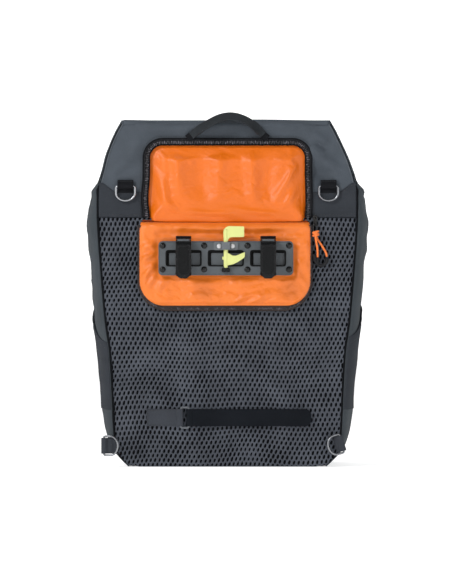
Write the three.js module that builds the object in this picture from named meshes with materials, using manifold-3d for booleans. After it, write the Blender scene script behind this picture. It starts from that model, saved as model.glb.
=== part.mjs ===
// A bicycle pannier bag that also carries as a backpack. Millimetres, +Z up.
// The origin is the middle of the base. The side that hangs on the rack faces -Y.
import * as THREE from 'three';
import { mergeVertices } from 'three/addons/utils/BufferGeometryUtils.js';
import Module from 'manifold-3d';

const wasm = await Module();
wasm.setup();

// ---- Driving dimensions -------------------------------------------------------------------
const HEIGHT = 413;            // top edge of the back panel
const FRONT_HEIGHT = 362;      // top edge of the front panel
const BACK_Y = -75;            // outer face of the back pad
const FRONT_Y = 68;            // front edge of the side gussets
const PAD_TOP = 299;           // seam between the back pad and the upper panel
const PAD_THICK = 5.6;
const FABRIC = 1.4;            // coated fabric with its lining
const SEAM_GAP = 0.5;          // gap left between two pieces that are sewn together

const OPENING_HALF = 93;       // hook pocket opening, in the upper back panel
const OPENING_TOP = 386;
const OPENING_R = 15;
const ZIP_BAND = 9;            // width of the zip tape that frames the opening

const PANEL_HALF = 105;        // fold-down hook panel
const PANEL_X = -3;            // it hangs a little to one side
const PANEL_TOP = 291;         // its fold line, which is the hinge
const PANEL_BOTTOM = 187;
const PANEL_R = 36;
const PANEL_Y = -80;           // mid plane of the panel
const PIPING_R = 1.7;

const PLATE_X = -2;            // rail plate that carries the hooks
const PLATE_Z = 250.4;
const PLATE_W = 161.3;
const PLATE_H = 41;
const PLATE_BACK = -83.3;
const PLATE_FRONT = -91;
const WINDOW = { w: 43, h: 19.5, r: 2, pitch: 50.5, depth: 4.4 };
const SCREW = { head: 3.65, headH: 2, shank: 1.5, rows: [15.1, -13.4], columns: [25.9, 75.6] };

const HOOK_X = 50.5;           // hooks, each side of the plate's middle
const HOOK_W = 18.5;
const THROAT = 16.5;           // room for a rack tube

const STEM_Y = -95.6;          // axis of the latch lever
const STEM_R = 2.6;

const RING = { half: 11.4, side: 8, bow: 9.2, wire: 1.4 }; // D-ring, to the middle of the wire
const WEB_T = 2.1;             // folded webbing
const UPPER_RING = { left: 122.4, right: 121.2, z: 336.8 };
const LOWER_RING = { x: 148.4, z: 25.6, lean: 0, tail: 11, y: -77.3 };
const LOWER_RING_RIGHT = { x: 137, z: 28.7, lean: -16, tail: 11, y: -78.6 };

const STRAP_Z = 59.4;          // strap across the lower back
const STRAP_W = 20.6;
const LOOP = { left: -55.9, right: -46.5, half: 12.2, wire: 1.3 };

const SLIDER = { x: 105.1, z: 295.5, w: 5.6, h: 13 };
const PULL = { z: 291, len: 13, w: 6, t: 1.6, hole: 2.1 };
const CORD_R = 1.25;
const GRIP_R = 2;

const LID_HINGE = { y: -70, z: 415.8 };
const LID_T = 2;
const HANDLE = { w: 21, t: 2 };
const HANDLE_LINE = [[-43.5, 397.5], [-37, 402.4], [-30, 407], [-18, 414.2], [-8, 418.6], [2, 420.4],
  [12, 419.2], [22, 415.4], [30, 410.4], [37, 404.8], [43, 398.4]];

// ---- Outline of the bag -------------------------------------------------------------------
// Each list gives half widths at chosen heights, joined by straight lines.
const BACK_EDGE = [[0, 117], [6, 123.5], [14, 130.5], [20, 133.5], [38, 135.6], [53, 136.5], [83, 137.6],
  [113, 139], [142, 141], [163, 144.5], [183, 147], [213, 149.6], [233, 151.2], [263, 153.5], [296, 155.4],
  [318, 156], [333, 155.5], [344, 152.8], [356, 149.4], [368, 146], [380, 141.6], [392, 136.4],
  [404, 130.6], [413, 125.4]];
const SILHOUETTE = [[0, 118], [7, 126], [15, 134.5], [21, 140.5], [32, 145], [44, 148.2], [56, 150],
  [68, 151.8], [92, 153], [116, 155], [140, 156.8], [164, 160.2], [188, 161.4], [212, 163.8], [236, 165],
  [248, 166], [260, 167.7], [272, 169.2], [284, 170.6], [296, 170.8], [308, 168.8], [320, 166.4],
  [331, 163.6], [338, 159.5], [344, 156], [356, 151.8], [368, 148.2], [380, 143.8], [392, 138.6],
  [404, 132.8], [413, 127.6]];

// ---- Helpers ------------------------------------------------------------------------------
function alongHeight(stops) {
  return (z) => {
    const i = Math.min(Math.max(stops.findIndex((s) => s[0] >= z), 1), stops.length - 1);
    const [a, b] = [stops[i - 1], stops[i]];
    const t = THREE.MathUtils.clamp((z - a[0]) / (b[0] - a[0]), 0, 1);
    return a[1] + (b[1] - a[1]) * t;
  };
}
const backEdge = alongHeight(BACK_EDGE);
const silhouette = alongHeight(SILHOUETTE);

function bare(geometry) {
  const g = geometry.clone();
  g.deleteAttribute('normal');
  g.deleteAttribute('uv');
  return mergeVertices(g, 1e-4);
}

function solid(geometry) {
  const g = bare(geometry);
  return new wasm.Manifold(new wasm.Mesh({
    numProp: 3,
    vertProperties: g.attributes.position.array,
    triVerts: new Uint32Array(g.index.array),
  }));
}

function surface(manifold) {
  const m = manifold.getMesh();
  const g = new THREE.BufferGeometry();
  g.setAttribute('position', new THREE.BufferAttribute(new Float32Array(m.vertProperties), 3));
  g.setIndex(Array.from(m.triVerts));
  return g;
}

const cut = (from, ...tools) => surface(tools.reduce((s, t) => s.subtract(solid(t)), solid(from)));
const join = (...pieces) => surface(pieces.slice(1).reduce((s, t) => s.add(solid(t)), solid(pieces[0])));

// Turns the faces outwards when the signed volume is negative.
function outward(g) {
  const p = g.attributes.position;
  const idx = g.index.array;
  const [a, b, c] = [new THREE.Vector3(), new THREE.Vector3(), new THREE.Vector3()];
  let volume = 0;
  for (let i = 0; i < idx.length; i += 3) {
    a.fromBufferAttribute(p, idx[i]);
    b.fromBufferAttribute(p, idx[i + 1]);
    c.fromBufferAttribute(p, idx[i + 2]);
    volume += a.dot(b.cross(c));
  }
  if (volume < 0) {
    for (let i = 0; i < idx.length; i += 3) [idx[i + 1], idx[i + 2]] = [idx[i + 2], idx[i + 1]];
  }
  return g;
}

function indexed(points, faces) {
  const g = new THREE.BufferGeometry().setFromPoints(points);
  g.setIndex(faces);
  return outward(g);
}

// A closed sheet with even thickness on both sides of at(u, v), for u and v from 0 to 1.
function sheet(at, thickness, nu, nv) {
  const points = [];
  const e = 1e-3;
  for (const side of [1, -1]) {
    for (let i = 0; i <= nu; i += 1) {
      for (let j = 0; j <= nv; j += 1) {
        const [u, v] = [i / nu, j / nv];
        const du = at(Math.min(u + e, 1), v).sub(at(Math.max(u - e, 0), v));
        const dv = at(u, Math.min(v + e, 1)).sub(at(u, Math.max(v - e, 0)));
        points.push(at(u, v).addScaledVector(du.cross(dv).normalize(), (side * thickness) / 2));
      }
    }
  }
  const n = (nu + 1) * (nv + 1);
  const id = (i, j, back) => i * (nv + 1) + j + (back ? n : 0);
  const faces = [];
  const quad = (a, b, c, d) => faces.push(a, b, c, a, c, d);
  for (let i = 0; i < nu; i += 1) {
    for (let j = 0; j < nv; j += 1) {
      quad(id(i, j), id(i + 1, j), id(i + 1, j + 1), id(i, j + 1));
      quad(id(i, j, true), id(i, j + 1, true), id(i + 1, j + 1, true), id(i + 1, j, true));
    }
  }
  for (let i = 0; i < nu; i += 1) {
    quad(id(i, 0, true), id(i + 1, 0, true), id(i + 1, 0), id(i, 0));
    quad(id(i, nv), id(i + 1, nv), id(i + 1, nv, true), id(i, nv, true));
  }
  for (let j = 0; j < nv; j += 1) {
    quad(id(0, j), id(0, j + 1), id(0, j + 1, true), id(0, j, true));
    quad(id(nu, j, true), id(nu, j + 1, true), id(nu, j + 1), id(nu, j));
  }
  return indexed(points, faces);
}

// A round wire that closes on itself, through points in its own XY plane.
function wireRing(points, radius, sides = 8) {
  const ring = [];
  const faces = [];
  const n = points.length;
  points.forEach((p, i) => {
    const along = points[(i + 1) % n].clone().sub(points[(i + n - 1) % n]).normalize();
    for (let k = 0; k < sides; k += 1) {
      const angle = (2 * Math.PI * k) / sides;
      const across = radius * Math.cos(angle);
      ring.push(new THREE.Vector3(p.x - along.y * across, p.y + along.x * across, radius * Math.sin(angle)));
    }
    for (let k = 0; k < sides; k += 1) {
      const [a, b] = [i * sides + k, i * sides + ((k + 1) % sides)];
      const [c, d] = [((i + 1) % n) * sides + ((k + 1) % sides), ((i + 1) % n) * sides + k];
      faces.push(a, b, c, a, c, d);
    }
  });
  return indexed(ring, faces);
}

// Stands an XZ outline up and gives it depth from yFront (outer) to yBack (inner).
function upright(shape, yFront, yBack, curveSegments = 8) {
  const g = new THREE.ExtrudeGeometry(shape, { depth: yBack - yFront, bevelEnabled: false, curveSegments });
  return g.rotateX(Math.PI / 2).translate(0, yBack, 0);
}

function roundRect(x0, y0, x1, y1, r) {
  const s = new THREE.Shape();
  s.moveTo(x0 + r, y0);
  s.lineTo(x1 - r, y0).absarc(x1 - r, y0 + r, r, -Math.PI / 2, 0);
  s.lineTo(x1, y1 - r).absarc(x1 - r, y1 - r, r, 0, Math.PI / 2);
  s.lineTo(x0 + r, y1).absarc(x0 + r, y1 - r, r, Math.PI / 2, Math.PI);
  s.lineTo(x0, y0 + r).absarc(x0 + r, y0 + r, r, Math.PI, Math.PI * 1.5);
  return s;
}

function box(x0, x1, y0, y1, z0, z1) {
  const g = new THREE.BoxGeometry(x1 - x0, y1 - y0, z1 - z0);
  return g.translate((x0 + x1) / 2, (y0 + y1) / 2, (z0 + z1) / 2);
}

function tube(curve, radius, steps, sides = 8) {
  const circle = new THREE.Shape();
  circle.absarc(0, 0, radius, 0, Math.PI * 2);
  return new THREE.ExtrudeGeometry(circle, { extrudePath: curve, steps, curveSegments: sides });
}

// ---- Materials ----------------------------------------------------------------------------
const paint = (color, roughness, metalness = 0) =>
  new THREE.MeshStandardMaterial({ color, roughness, metalness });
const COATED = paint(0x454b53, 0.45);
const WOVEN = paint(0x3b3d43, 0.85);
const MESH = paint(0x3e4248, 0.9);
const ORANGE = paint(0xf07a2c, 0.5);
const BOARD = paint(0x26282b, 0.6);
const BLACK_PLASTIC = paint(0x1c1d20, 0.45);
const GREY_PLASTIC = paint(0x474c52, 0.5);
const LIME = paint(0xdfe98a, 0.4);
const STEEL = paint(0xb9bcc0, 0.3, 1);
const WEBBING = paint(0x2b2e33, 0.9);
const CORD = paint(0xf08a3c, 0.7);
const ZIP = paint(0x17181b, 0.6);

const bag = new THREE.Group();
function add(name, geometry, material, parent = bag) {
  const mesh = new THREE.Mesh(geometry, material);
  mesh.name = name;
  parent.add(mesh);
  return mesh;
}

// ---- Fixed body: back -----------------------------------------------------------------------
const SIDES = [['left', -1], ['right', 1]];

function backOutline(bottom, top, inset, r) {
  const s = new THREE.Shape();
  const half = (z) => backEdge(z) - inset;
  const heights = BACK_EDGE.map((e) => e[0]).filter((z) => z > bottom + r && z < top);
  s.moveTo(-half(bottom + r) + r, bottom);
  s.lineTo(half(bottom + r) - r, bottom);
  s.absarc(half(bottom + r) - r, bottom + r, r, -Math.PI / 2, 0);
  heights.forEach((z) => s.lineTo(half(z), z));
  s.lineTo(half(top), top).lineTo(-half(top), top);
  [...heights].reverse().forEach((z) => s.lineTo(-half(z), z));
  s.absarc(-half(bottom + r) + r, bottom + r, r, Math.PI, Math.PI * 1.5);
  return s;
}

const backPad = () => upright(backOutline(3, PAD_TOP, 1.2, 24), BACK_Y, BACK_Y + PAD_THICK, 6);
const backBoard = () => upright(backOutline(9, PAD_TOP - 11, 9, 22), -69, -66.8, 5);

// The upper panel is an arch over the hook pocket's opening.
function upperBackPanel() {
  const s = new THREE.Shape();
  const foot = PAD_TOP + SEAM_GAP;
  const [w, top, r] = [OPENING_HALF, OPENING_TOP, OPENING_R];
  s.moveTo(-backEdge(foot) + 1, foot).lineTo(-w, foot).lineTo(-w, top - r);
  s.absarc(-w + r, top - r, r, Math.PI, Math.PI / 2, true);
  s.lineTo(w - r, top).absarc(w - r, top - r, r, Math.PI / 2, 0, true);
  s.lineTo(w, foot).lineTo(backEdge(foot) - 1, foot).lineTo(backEdge(335) - 1, 335);
  s.lineTo(backEdge(HEIGHT) - 1, HEIGHT).lineTo(-backEdge(HEIGHT) + 1, HEIGHT);
  s.lineTo(-backEdge(335) + 1, 335);
  return upright(s, -73, -73 + FABRIC, 5);
}

// Stitched reinforcement under each upper ring.
function cornerPatch(side) {
  const s = new THREE.Shape();
  [[103, 300], [154.6, 300], [153, 341], [133, 331], [103, 330]].forEach(([x, z], i) => {
    if (i === 0) s.moveTo(side * x, z);
    else s.lineTo(side * x, z);
  });
  return upright(s, -74.5, -73.4);
}

function arch(half, top, r, foot, path) {
  path.moveTo(-half, foot).lineTo(-half, top - r);
  path.absarc(-half + r, top - r, r, Math.PI, Math.PI / 2, true);
  path.lineTo(half - r, top).absarc(half - r, top - r, r, Math.PI / 2, 0, true);
  return path.lineTo(half, foot);
}

function zipFrame() {
  const foot = PAD_TOP + 1;
  const w = OPENING_HALF;
  const s = arch(w + ZIP_BAND, OPENING_TOP + ZIP_BAND - 1, 26, foot, new THREE.Shape());
  s.lineTo(w, foot).lineTo(w, OPENING_TOP - OPENING_R);
  s.absarc(w - OPENING_R, OPENING_TOP - OPENING_R, OPENING_R, 0, Math.PI / 2);
  s.lineTo(-w + OPENING_R, OPENING_TOP);
  s.absarc(-w + OPENING_R, OPENING_TOP - OPENING_R, OPENING_R, Math.PI / 2, Math.PI);
  s.lineTo(-w, foot);
  return upright(s, -76.2, -73.5, 6);
}

const hingeBand = () => box(PANEL_X - 101, PANEL_X + 101, -76.4, -75.3, 284, 298.4);

// Pocket wall seen through the opening: flat at its sewn edges and bulging out between them.
function pocketLining() {
  const [half, foot, top, bulge] = [97, 300.2, 390, 7];
  const rise = (d) => THREE.MathUtils.smoothstep(d, 6, 30);
  const at = (u, v) => {
    const x = half * (2 * u - 1);
    const z = foot + (top - foot) * v;
    const y = -70.4 - bulge * rise(half - Math.abs(x)) * rise(top - z) * rise(z - foot + 12);
    return new THREE.Vector3(x, y, z);
  };
  return sheet(at, 1, 16, 10);
}

// ---- Fixed body: sides, front and base --------------------------------------------------------
const SIDE_Y0 = BACK_Y + 2.4;

function gussetPoint(side, u, z) {
  const y = THREE.MathUtils.lerp(SIDE_Y0, FRONT_Y, u);
  const bulge = Math.sin(Math.PI * Math.min(Math.max(u, 0.001), 0.999)) ** 0.42;
  const edge = backEdge(z) + 1.2;
  return new THREE.Vector3(side * (edge + (silhouette(z) - edge) * bulge), y, z);
}
const gussetTop = (u) => THREE.MathUtils.lerp(HEIGHT, FRONT_HEIGHT, u);
const denserBelow = (v) => v ** 1.35;

function gusset(side) {
  const at = (u, v) => gussetPoint(side, u, THREE.MathUtils.lerp(0.75, gussetTop(u), denserBelow(v)));
  return sheet(at, FABRIC, 12, 14);
}

// Slip pocket lying flat on the gusset, with a slanted top edge.
function sidePocket(side, topBack) {
  const at = (u, v) => {
    const along = THREE.MathUtils.lerp(0.045, 0.955, u);
    const z = THREE.MathUtils.lerp(70, topBack + 42 * along, v);
    const p = gussetPoint(side, along, z);
    const du = gussetPoint(side, along + 0.002, z).sub(gussetPoint(side, along - 0.002, z));
    const dz = gussetPoint(side, along, z + 0.5).sub(gussetPoint(side, along, z - 0.5));
    return p.addScaledVector(du.cross(dz).normalize(), side * 2.8);
  };
  return sheet(at, 1.2, 12, 6);
}

function frontPanel() {
  const at = (u, v) => {
    const z = THREE.MathUtils.lerp(0.9, FRONT_HEIGHT, v);
    const x = (backEdge(z) - 2) * (2 * u - 1);
    return new THREE.Vector3(x, FRONT_Y + 3 + 8 * Math.sin(Math.PI * u) * Math.sin(Math.PI * v) ** 0.6, z);
  };
  return sheet(at, FABRIC, 12, 10);
}

function basePlate(halfX, halfY, r, z0, z1) {
  const g = new THREE.ExtrudeGeometry(roundRect(-halfX, -halfY, halfX, halfY, r),
    { depth: z1 - z0, bevelEnabled: false, curveSegments: 6 });
  return g.translate(0, 0, z0);
}

// ---- Webbing and rings ------------------------------------------------------------------------
// Webbing folded round a wire: the eye is at the local origin and the tail lies along local +X,
// its inner face on local y = -eyeOuter. Width runs along local Z.
function foldedTab(width, wire, tail) {
  const hole = wire + 0.6;
  const outer = hole + 1.2;
  const s = new THREE.Shape();
  s.moveTo(0, -outer).lineTo(tail, -outer).lineTo(tail, -outer + WEB_T);
  s.lineTo(outer * 0.95, -outer + WEB_T);
  s.absarc(0, 0, outer, -0.18, Math.PI * 1.5, false);
  const eye = new THREE.Path();
  eye.absarc(0, 0, hole, 0, Math.PI * 2, true);
  s.holes.push(eye);
  const g = new THREE.ExtrudeGeometry(s, { depth: width, bevelEnabled: false, curveSegments: 8 });
  return g.translate(0, 0, -width / 2);
}
const eyeOuter = (wire) => wire + 1.8;

// D-ring with its straight bar along local X at the origin and its bow towards local -Y.
function dRing() {
  const { half, side, bow, wire } = RING;
  const s = new THREE.Path();
  s.moveTo(-half + 1.5, 0).lineTo(half - 1.5, 0);
  s.quadraticCurveTo(half, 0, half, -1.5).lineTo(half, -side);
  s.absellipse(0, -side, half, bow, 0, -Math.PI, true);
  s.lineTo(-half, -1.5).quadraticCurveTo(-half, 0, -half + 1.5, 0);
  return wireRing(s.getSpacedPoints(26).slice(0, -1), wire, 6);
}

// The upper tabs hang down the panel and the rings hang from them.
function upperRing(label, side) {
  const y = -73.4 - 1.5 - eyeOuter(RING.wire);
  const at = [side * UPPER_RING[label], y, UPPER_RING.z];
  const tab = foldedTab(17, RING.wire, 7.6);
  tab.applyMatrix4(new THREE.Matrix4().makeBasis(
    new THREE.Vector3(0, 0, 1), new THREE.Vector3(0, -1, 0), new THREE.Vector3(1, 0, 0)));
  add(`${label}_upper_ring_tab`, tab, WEBBING).position.set(...at);
  const ring = add(`${label}_upper_ring`, dRing(), STEEL);
  ring.position.set(...at);
  ring.rotation.x = Math.PI / 2;
}

// The lower tabs point outwards from the seam, and the rings lie folded back over them.
function lowerRing(label, side, spec) {
  const holder = new THREE.Group();
  holder.position.set(side * spec.x, spec.y, spec.z);
  holder.rotation.y = THREE.MathUtils.degToRad(side * spec.lean);
  bag.add(holder);
  const tab = foldedTab(19, RING.wire, spec.tail);
  tab.applyMatrix4(new THREE.Matrix4().makeBasis(
    new THREE.Vector3(-side, 0, 0), new THREE.Vector3(0, -1, 0), new THREE.Vector3(0, 0, side)));
  add(`${label}_lower_ring_tab`, tab, WEBBING, holder);
  const ring = dRing().applyMatrix4(new THREE.Matrix4().makeBasis(
    new THREE.Vector3(0, 0, -side), new THREE.Vector3(side, 0, 0), new THREE.Vector3(0, -1, 0)));
  ring.rotateZ(THREE.MathUtils.degToRad(side * 11.5));
  add(`${label}_lower_ring`, ring, STEEL, holder);
}

// ---- Lower strap ------------------------------------------------------------------------------
function strapRing() {
  const { left, right, half, wire } = LOOP;
  const s = roundRect(left, -half, right, half, 2);
  const g = wireRing(s.getSpacedPoints(28).slice(0, -1), wire, 6);
  return g.rotateX(Math.PI / 2).translate(0, BACK_Y - 0.3 - eyeOuter(wire), STRAP_Z);
}

function strapAnchor() {
  const g = foldedTab(STRAP_W, LOOP.wire, 41);
  g.applyMatrix4(new THREE.Matrix4().makeBasis(
    new THREE.Vector3(-1, 0, 0), new THREE.Vector3(0, -1, 0), new THREE.Vector3(0, 0, 1)));
  return g.translate(LOOP.left, BACK_Y - 0.3 - eyeOuter(LOOP.wire), STRAP_Z);
}

function strapFreeEnd() {
  const g = foldedTab(STRAP_W, LOOP.wire, 146.5);
  g.applyMatrix4(new THREE.Matrix4().makeBasis(
    new THREE.Vector3(1, 0, 0), new THREE.Vector3(0, 1, 0), new THREE.Vector3(0, 0, 1)));
  return g.translate(LOOP.right, BACK_Y - 0.3 - eyeOuter(LOOP.wire), STRAP_Z);
}

const strapSewnLayer = () =>
  box(-40, 96, BACK_Y - 0.3 - WEB_T, BACK_Y - 0.3, STRAP_Z - STRAP_W / 2, STRAP_Z + STRAP_W / 2);

// ---- Carry handle -----------------------------------------------------------------------------
function carryHandle() {
  const { w, t } = HANDLE;
  const line = new THREE.CatmullRomCurve3(HANDLE_LINE.map(([x, z]) => new THREE.Vector3(x, 0, z)));
  const at = (u, v) => {
    const middle = line.getPoint(u);
    const along = line.getTangent(u);
    const open = THREE.MathUtils.smoothstep(Math.sin(Math.PI * u), 0, 0.6);
    const across = (v - 0.5) * w;
    return new THREE.Vector3(
      middle.x - along.z * across * 0.45,
      -77.6 + open * (across * 0.88 - 8.8),
      middle.z + along.x * across * 0.45,
    );
  };
  return sheet(at, t, 28, 3);
}

// ---- Fold-down hook panel ---------------------------------------------------------------------
function panelOutline(inset, top) {
  const [x0, x1] = [PANEL_X - PANEL_HALF + inset, PANEL_X + PANEL_HALF - inset];
  const [z0, r] = [PANEL_BOTTOM + inset, PANEL_R - inset];
  const s = new THREE.Shape();
  s.moveTo(x0 + r, z0).lineTo(x1 - r, z0).absarc(x1 - r, z0 + r, r, -Math.PI / 2, 0);
  s.lineTo(x1, top).lineTo(x0, top).lineTo(x0, z0 + r);
  s.absarc(x0 + r, z0 + r, r, Math.PI, Math.PI * 1.5);
  return s;
}

const panelLayer = (yFront, yBack, inset) => upright(panelOutline(inset, PANEL_TOP - 0.2), yFront, yBack, 7);

function panelPiping() {
  const inset = PIPING_R;
  const r = PANEL_R - inset;
  const [x0, x1] = [PANEL_X - PANEL_HALF + inset, PANEL_X + PANEL_HALF - inset];
  const z0 = PANEL_BOTTOM + inset;
  const path = new THREE.CurvePath();
  const p = (x, z) => new THREE.Vector3(x, PANEL_Y, z);
  const k = 0.5523 * r;
  path.add(new THREE.LineCurve3(p(x0, PANEL_TOP - 1), p(x0, z0 + r)));
  path.add(new THREE.CubicBezierCurve3(p(x0, z0 + r), p(x0, z0 + r - k), p(x0 + r - k, z0), p(x0 + r, z0)));
  path.add(new THREE.LineCurve3(p(x0 + r, z0), p(x1 - r, z0)));
  path.add(new THREE.CubicBezierCurve3(p(x1 - r, z0), p(x1 - r + k, z0), p(x1, z0 + r - k), p(x1, z0 + r)));
  path.add(new THREE.LineCurve3(p(x1, z0 + r), p(x1, PANEL_TOP - 1)));
  return tube(path, PIPING_R, 30, 3);
}

const screwSpots = () => SCREW.rows.flatMap((dz) =>
  [-1, 1].flatMap((s) => SCREW.columns.map((dx) => [PLATE_X + s * dx, PLATE_Z + dz])));

function hole(x, z, r, y0, y1) {
  return new THREE.CylinderGeometry(r, r, y1 - y0, 12).translate(x, (y0 + y1) / 2, z);
}

function hookPlate() {
  const [w, h] = [PLATE_W / 2, PLATE_H / 2];
  const body = upright(roundRect(PLATE_X - w, PLATE_Z - h, PLATE_X + w, PLATE_Z + h, 5), PLATE_FRONT, PLATE_BACK, 4);
  const windows = [-1, 0, 1].map((k) => {
    const x = PLATE_X + k * WINDOW.pitch;
    const s = roundRect(x - WINDOW.w / 2, PLATE_Z - WINDOW.h / 2, x + WINDOW.w / 2, PLATE_Z + WINDOW.h / 2, WINDOW.r);
    return upright(s, PLATE_FRONT - 1, PLATE_FRONT + WINDOW.depth, 3);
  });
  const bores = screwSpots().map(([x, z]) => hole(x, z, SCREW.shank + 0.35, PLATE_FRONT - 1, PLATE_BACK - 2));
  const latchBores = LATCH_SCREWS.map(([x, z]) => hole(x, z, SCREW.shank + 0.35, PLATE_FRONT - 1, PLATE_BACK - 2));
  return cut(body, ...windows, ...bores, ...latchBores);
}

// Button head above a short shank, turned about Y, with the head towards -Y.
function screw(x, z, seat, headR, length) {
  const r = SCREW.shank;
  const h = SCREW.headH;
  const profile = [[0, -length], [r, -length], [r, 0], [headR, 0], [headR, h * 0.45], [headR * 0.72, h],
    [headR * 0.3, h], [headR * 0.3, h * 0.4], [0, h * 0.4]].map(([a, b]) => new THREE.Vector2(a, b));
  return new THREE.LatheGeometry(profile, 10).rotateZ(Math.PI).translate(x, seat - 0.3, z);
}

// Hook: a block that slides on the plate, a bridge over the rack tube and a long outer lip.
function hook(side) {
  const x = PLATE_X + side * HOOK_X;
  const back = PLATE_FRONT - 0.4;
  const inner = back - 4;
  const lipIn = inner - THROAT;
  const lipOut = lipIn - 4.6;
  const s = new THREE.Shape();
  s.moveTo(back, 277).lineTo(inner - 1, 277).lineTo(inner - 3, 273);
  s.lineTo(lipOut + 7, 272.5).quadraticCurveTo(lipOut, 272, lipOut, 265).lineTo(lipOut, 230);
  s.absarc(lipOut + 2.3, 230, 2.3, Math.PI, Math.PI * 2);
  s.lineTo(lipIn, 257).absarc(lipIn + THROAT / 2, 257, THROAT / 2, Math.PI, 0, true);
  s.lineTo(inner, 236).lineTo(back, 236);
  const clip = new THREE.ExtrudeGeometry(s, { depth: HOOK_W, bevelEnabled: false, curveSegments: 8 });
  clip.applyMatrix4(new THREE.Matrix4().makeBasis(
    new THREE.Vector3(0, 1, 0), new THREE.Vector3(0, 0, 1), new THREE.Vector3(1, 0, 0)));
  clip.translate(x - HOOK_W / 2, 0, 0);
  const tongue = box(x - 7, x + 7, back - 1, PLATE_FRONT + WINDOW.depth - 0.4,
    PLATE_Z - WINDOW.h / 2 + 0.4, PLATE_Z + WINDOW.h / 2 - 0.4);
  return join(clip, tongue);
}

// ---- Latch ------------------------------------------------------------------------------------
const LATCH_SCREWS = [[PLATE_X - 8, 264.8], [PLATE_X + 8, 264.8]];

function latchBracket() {
  const y = PLATE_FRONT - 0.4;
  const pad = upright(roundRect(PLATE_X - 14.5, 260, PLATE_X + 14.5, 270, 2), y - 1.6, y, 3);
  const saddle = upright(roundRect(PLATE_X - 5, 260.4, PLATE_X + 5, 269.6, 1), STEM_Y - STEM_R - 2, y, 3);
  const bore = new THREE.CylinderGeometry(STEM_R + 0.35, STEM_R + 0.35, 20, 16).rotateX(Math.PI / 2)
    .translate(PLATE_X, STEM_Y, 265);
  const screwHoles = LATCH_SCREWS.map(([x, z]) => hole(x, z, SCREW.shank + 0.35, y - 4, y + 2));
  return cut(join(pad, saddle), bore, ...screwHoles);
}

// Round stem with a flag on top and a pointed fin below, both towards +X.
function latchLever() {
  const stem = new THREE.CylinderGeometry(STEM_R, STEM_R, 46, 16).rotateX(Math.PI / 2)
    .translate(PLATE_X, STEM_Y, 262);
  const flag = new THREE.Shape();
  flag.moveTo(PLATE_X - 2.6, 271).lineTo(PLATE_X - 3, 281).quadraticCurveTo(PLATE_X - 2.6, 288.5, PLATE_X + 6, 288.8);
  flag.lineTo(20, 288).lineTo(20, 275.5).lineTo(PLATE_X + 6, 275).quadraticCurveTo(PLATE_X + 2.6, 274, PLATE_X + 2.6, 271);
  const fin = new THREE.Shape();
  fin.moveTo(PLATE_X + 1, 257.5).lineTo(PLATE_X + 8, 253.5).lineTo(21, 257.8).lineTo(20.5, 251);
  fin.lineTo(PLATE_X + 12, 244).lineTo(PLATE_X + 1, 241.5);
  const leaf = (shape) => upright(shape, STEM_Y - 1.7, STEM_Y + 1.7, 5);
  return join(stem, leaf(flag), leaf(fin));
}

// ---- Zip slider and its pull --------------------------------------------------------------------
function zipSlider() {
  const { x, z, w, h } = SLIDER;
  const body = upright(roundRect(x - w / 2, z - h / 2, x + w / 2, z + h / 2, 1.6), -78.6, -75.5, 3);
  const bridge = box(x - 1, x + 1, -81.6, -78, z - 5.6, z + 4);
  const slot = box(x - 3, x + 3, -80.4, -78.9, z - 4.6, z + 3);
  return cut(join(body, bridge), slot);
}

// Flat tab that turns on the slider's bridge; the cord goes through its lower eye.
function sliderPull() {
  const { x } = SLIDER;
  const { z, len, w, t, hole: r } = PULL;
  const y = -82.8;
  const leaf = upright(roundRect(x - w / 2, z - len, x + w / 2, z + 0.7, 1.2), y - t / 2, y + t / 2, 3);
  return cut(leaf, hole(x, z - len + 3.4, r, y - 3, y + 3));
}

const CORD_PATH = [[108, -81.5, 251.6], [107.6, -83, 262], [105.7, -85, 273], [105, -85.2, 279.6],
  [105.1, -82.8, 281.4], [105.6, -80.2, 280], [107.8, -79.7, 273.5], [113.4, -80, 265],
  [118, -80.4, 257], [119, -81, 252.3]];

function pullCord() {
  const path = new THREE.CatmullRomCurve3(CORD_PATH.map((p) => new THREE.Vector3(...p)));
  return tube(path, CORD_R, 40, 4);
}

// Hooked rubber grip that the cord's two ends run into.
function pullGrip() {
  const y = -81.2;
  const path = new THREE.CatmullRomCurve3([[104.3, 255.4], [104.6, 248.6], [108.2, 243], [113.8, 241.9],
    [118.2, 245.4], [119, 251.4]].map(([x, z]) => new THREE.Vector3(x, y, z)));
  const bow = tube(path, GRIP_R, 18, 4);
  const socket = new THREE.CylinderGeometry(1.9, 1.9, 8, 10).rotateX(Math.PI / 2).translate(108, y, 247);
  return join(bow, socket);
}

// ---- Lid ----------------------------------------------------------------------------------------
// Runs forwards from its hinge over the top, then down over the front panel.
function lidPoint(u, v) {
  const topLength = 152;
  const apron = 128;
  const run = v * (topLength + apron);
  const slope = Math.atan2(HEIGHT - FRONT_HEIGHT, FRONT_Y - BACK_Y);
  const bend = 14;
  const across = 2 * u - 1;
  const t = THREE.MathUtils.smoothstep(run, topLength - bend, topLength + bend);
  const onTop = Math.min(run, topLength);
  const down = Math.max(run - topLength, 0);
  const y = LID_HINGE.y + 1.6 + onTop * Math.cos(slope) + 5.4 * t + 3 * Math.sin(Math.PI * u) * t;
  const z = LID_HINGE.z + 0.2 - onTop * Math.sin(slope) - down + 3.2 * Math.sin((Math.PI * onTop) / topLength);
  const half = Math.min(154, silhouette(z) - 0.6);
  return new THREE.Vector3(half * across, y + 1.2 * t, z);
}
const lid = () => sheet(lidPoint, LID_T, 8, 20);

// Hook-and-loop patches that hold the lid's apron to the front panel.
const CLOSURE = { half: 50, z0: 246, z1: 271 };
const closurePatch = (y0, y1) => box(-CLOSURE.half, CLOSURE.half, y0, y1, CLOSURE.z0, CLOSURE.z1);

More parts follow.
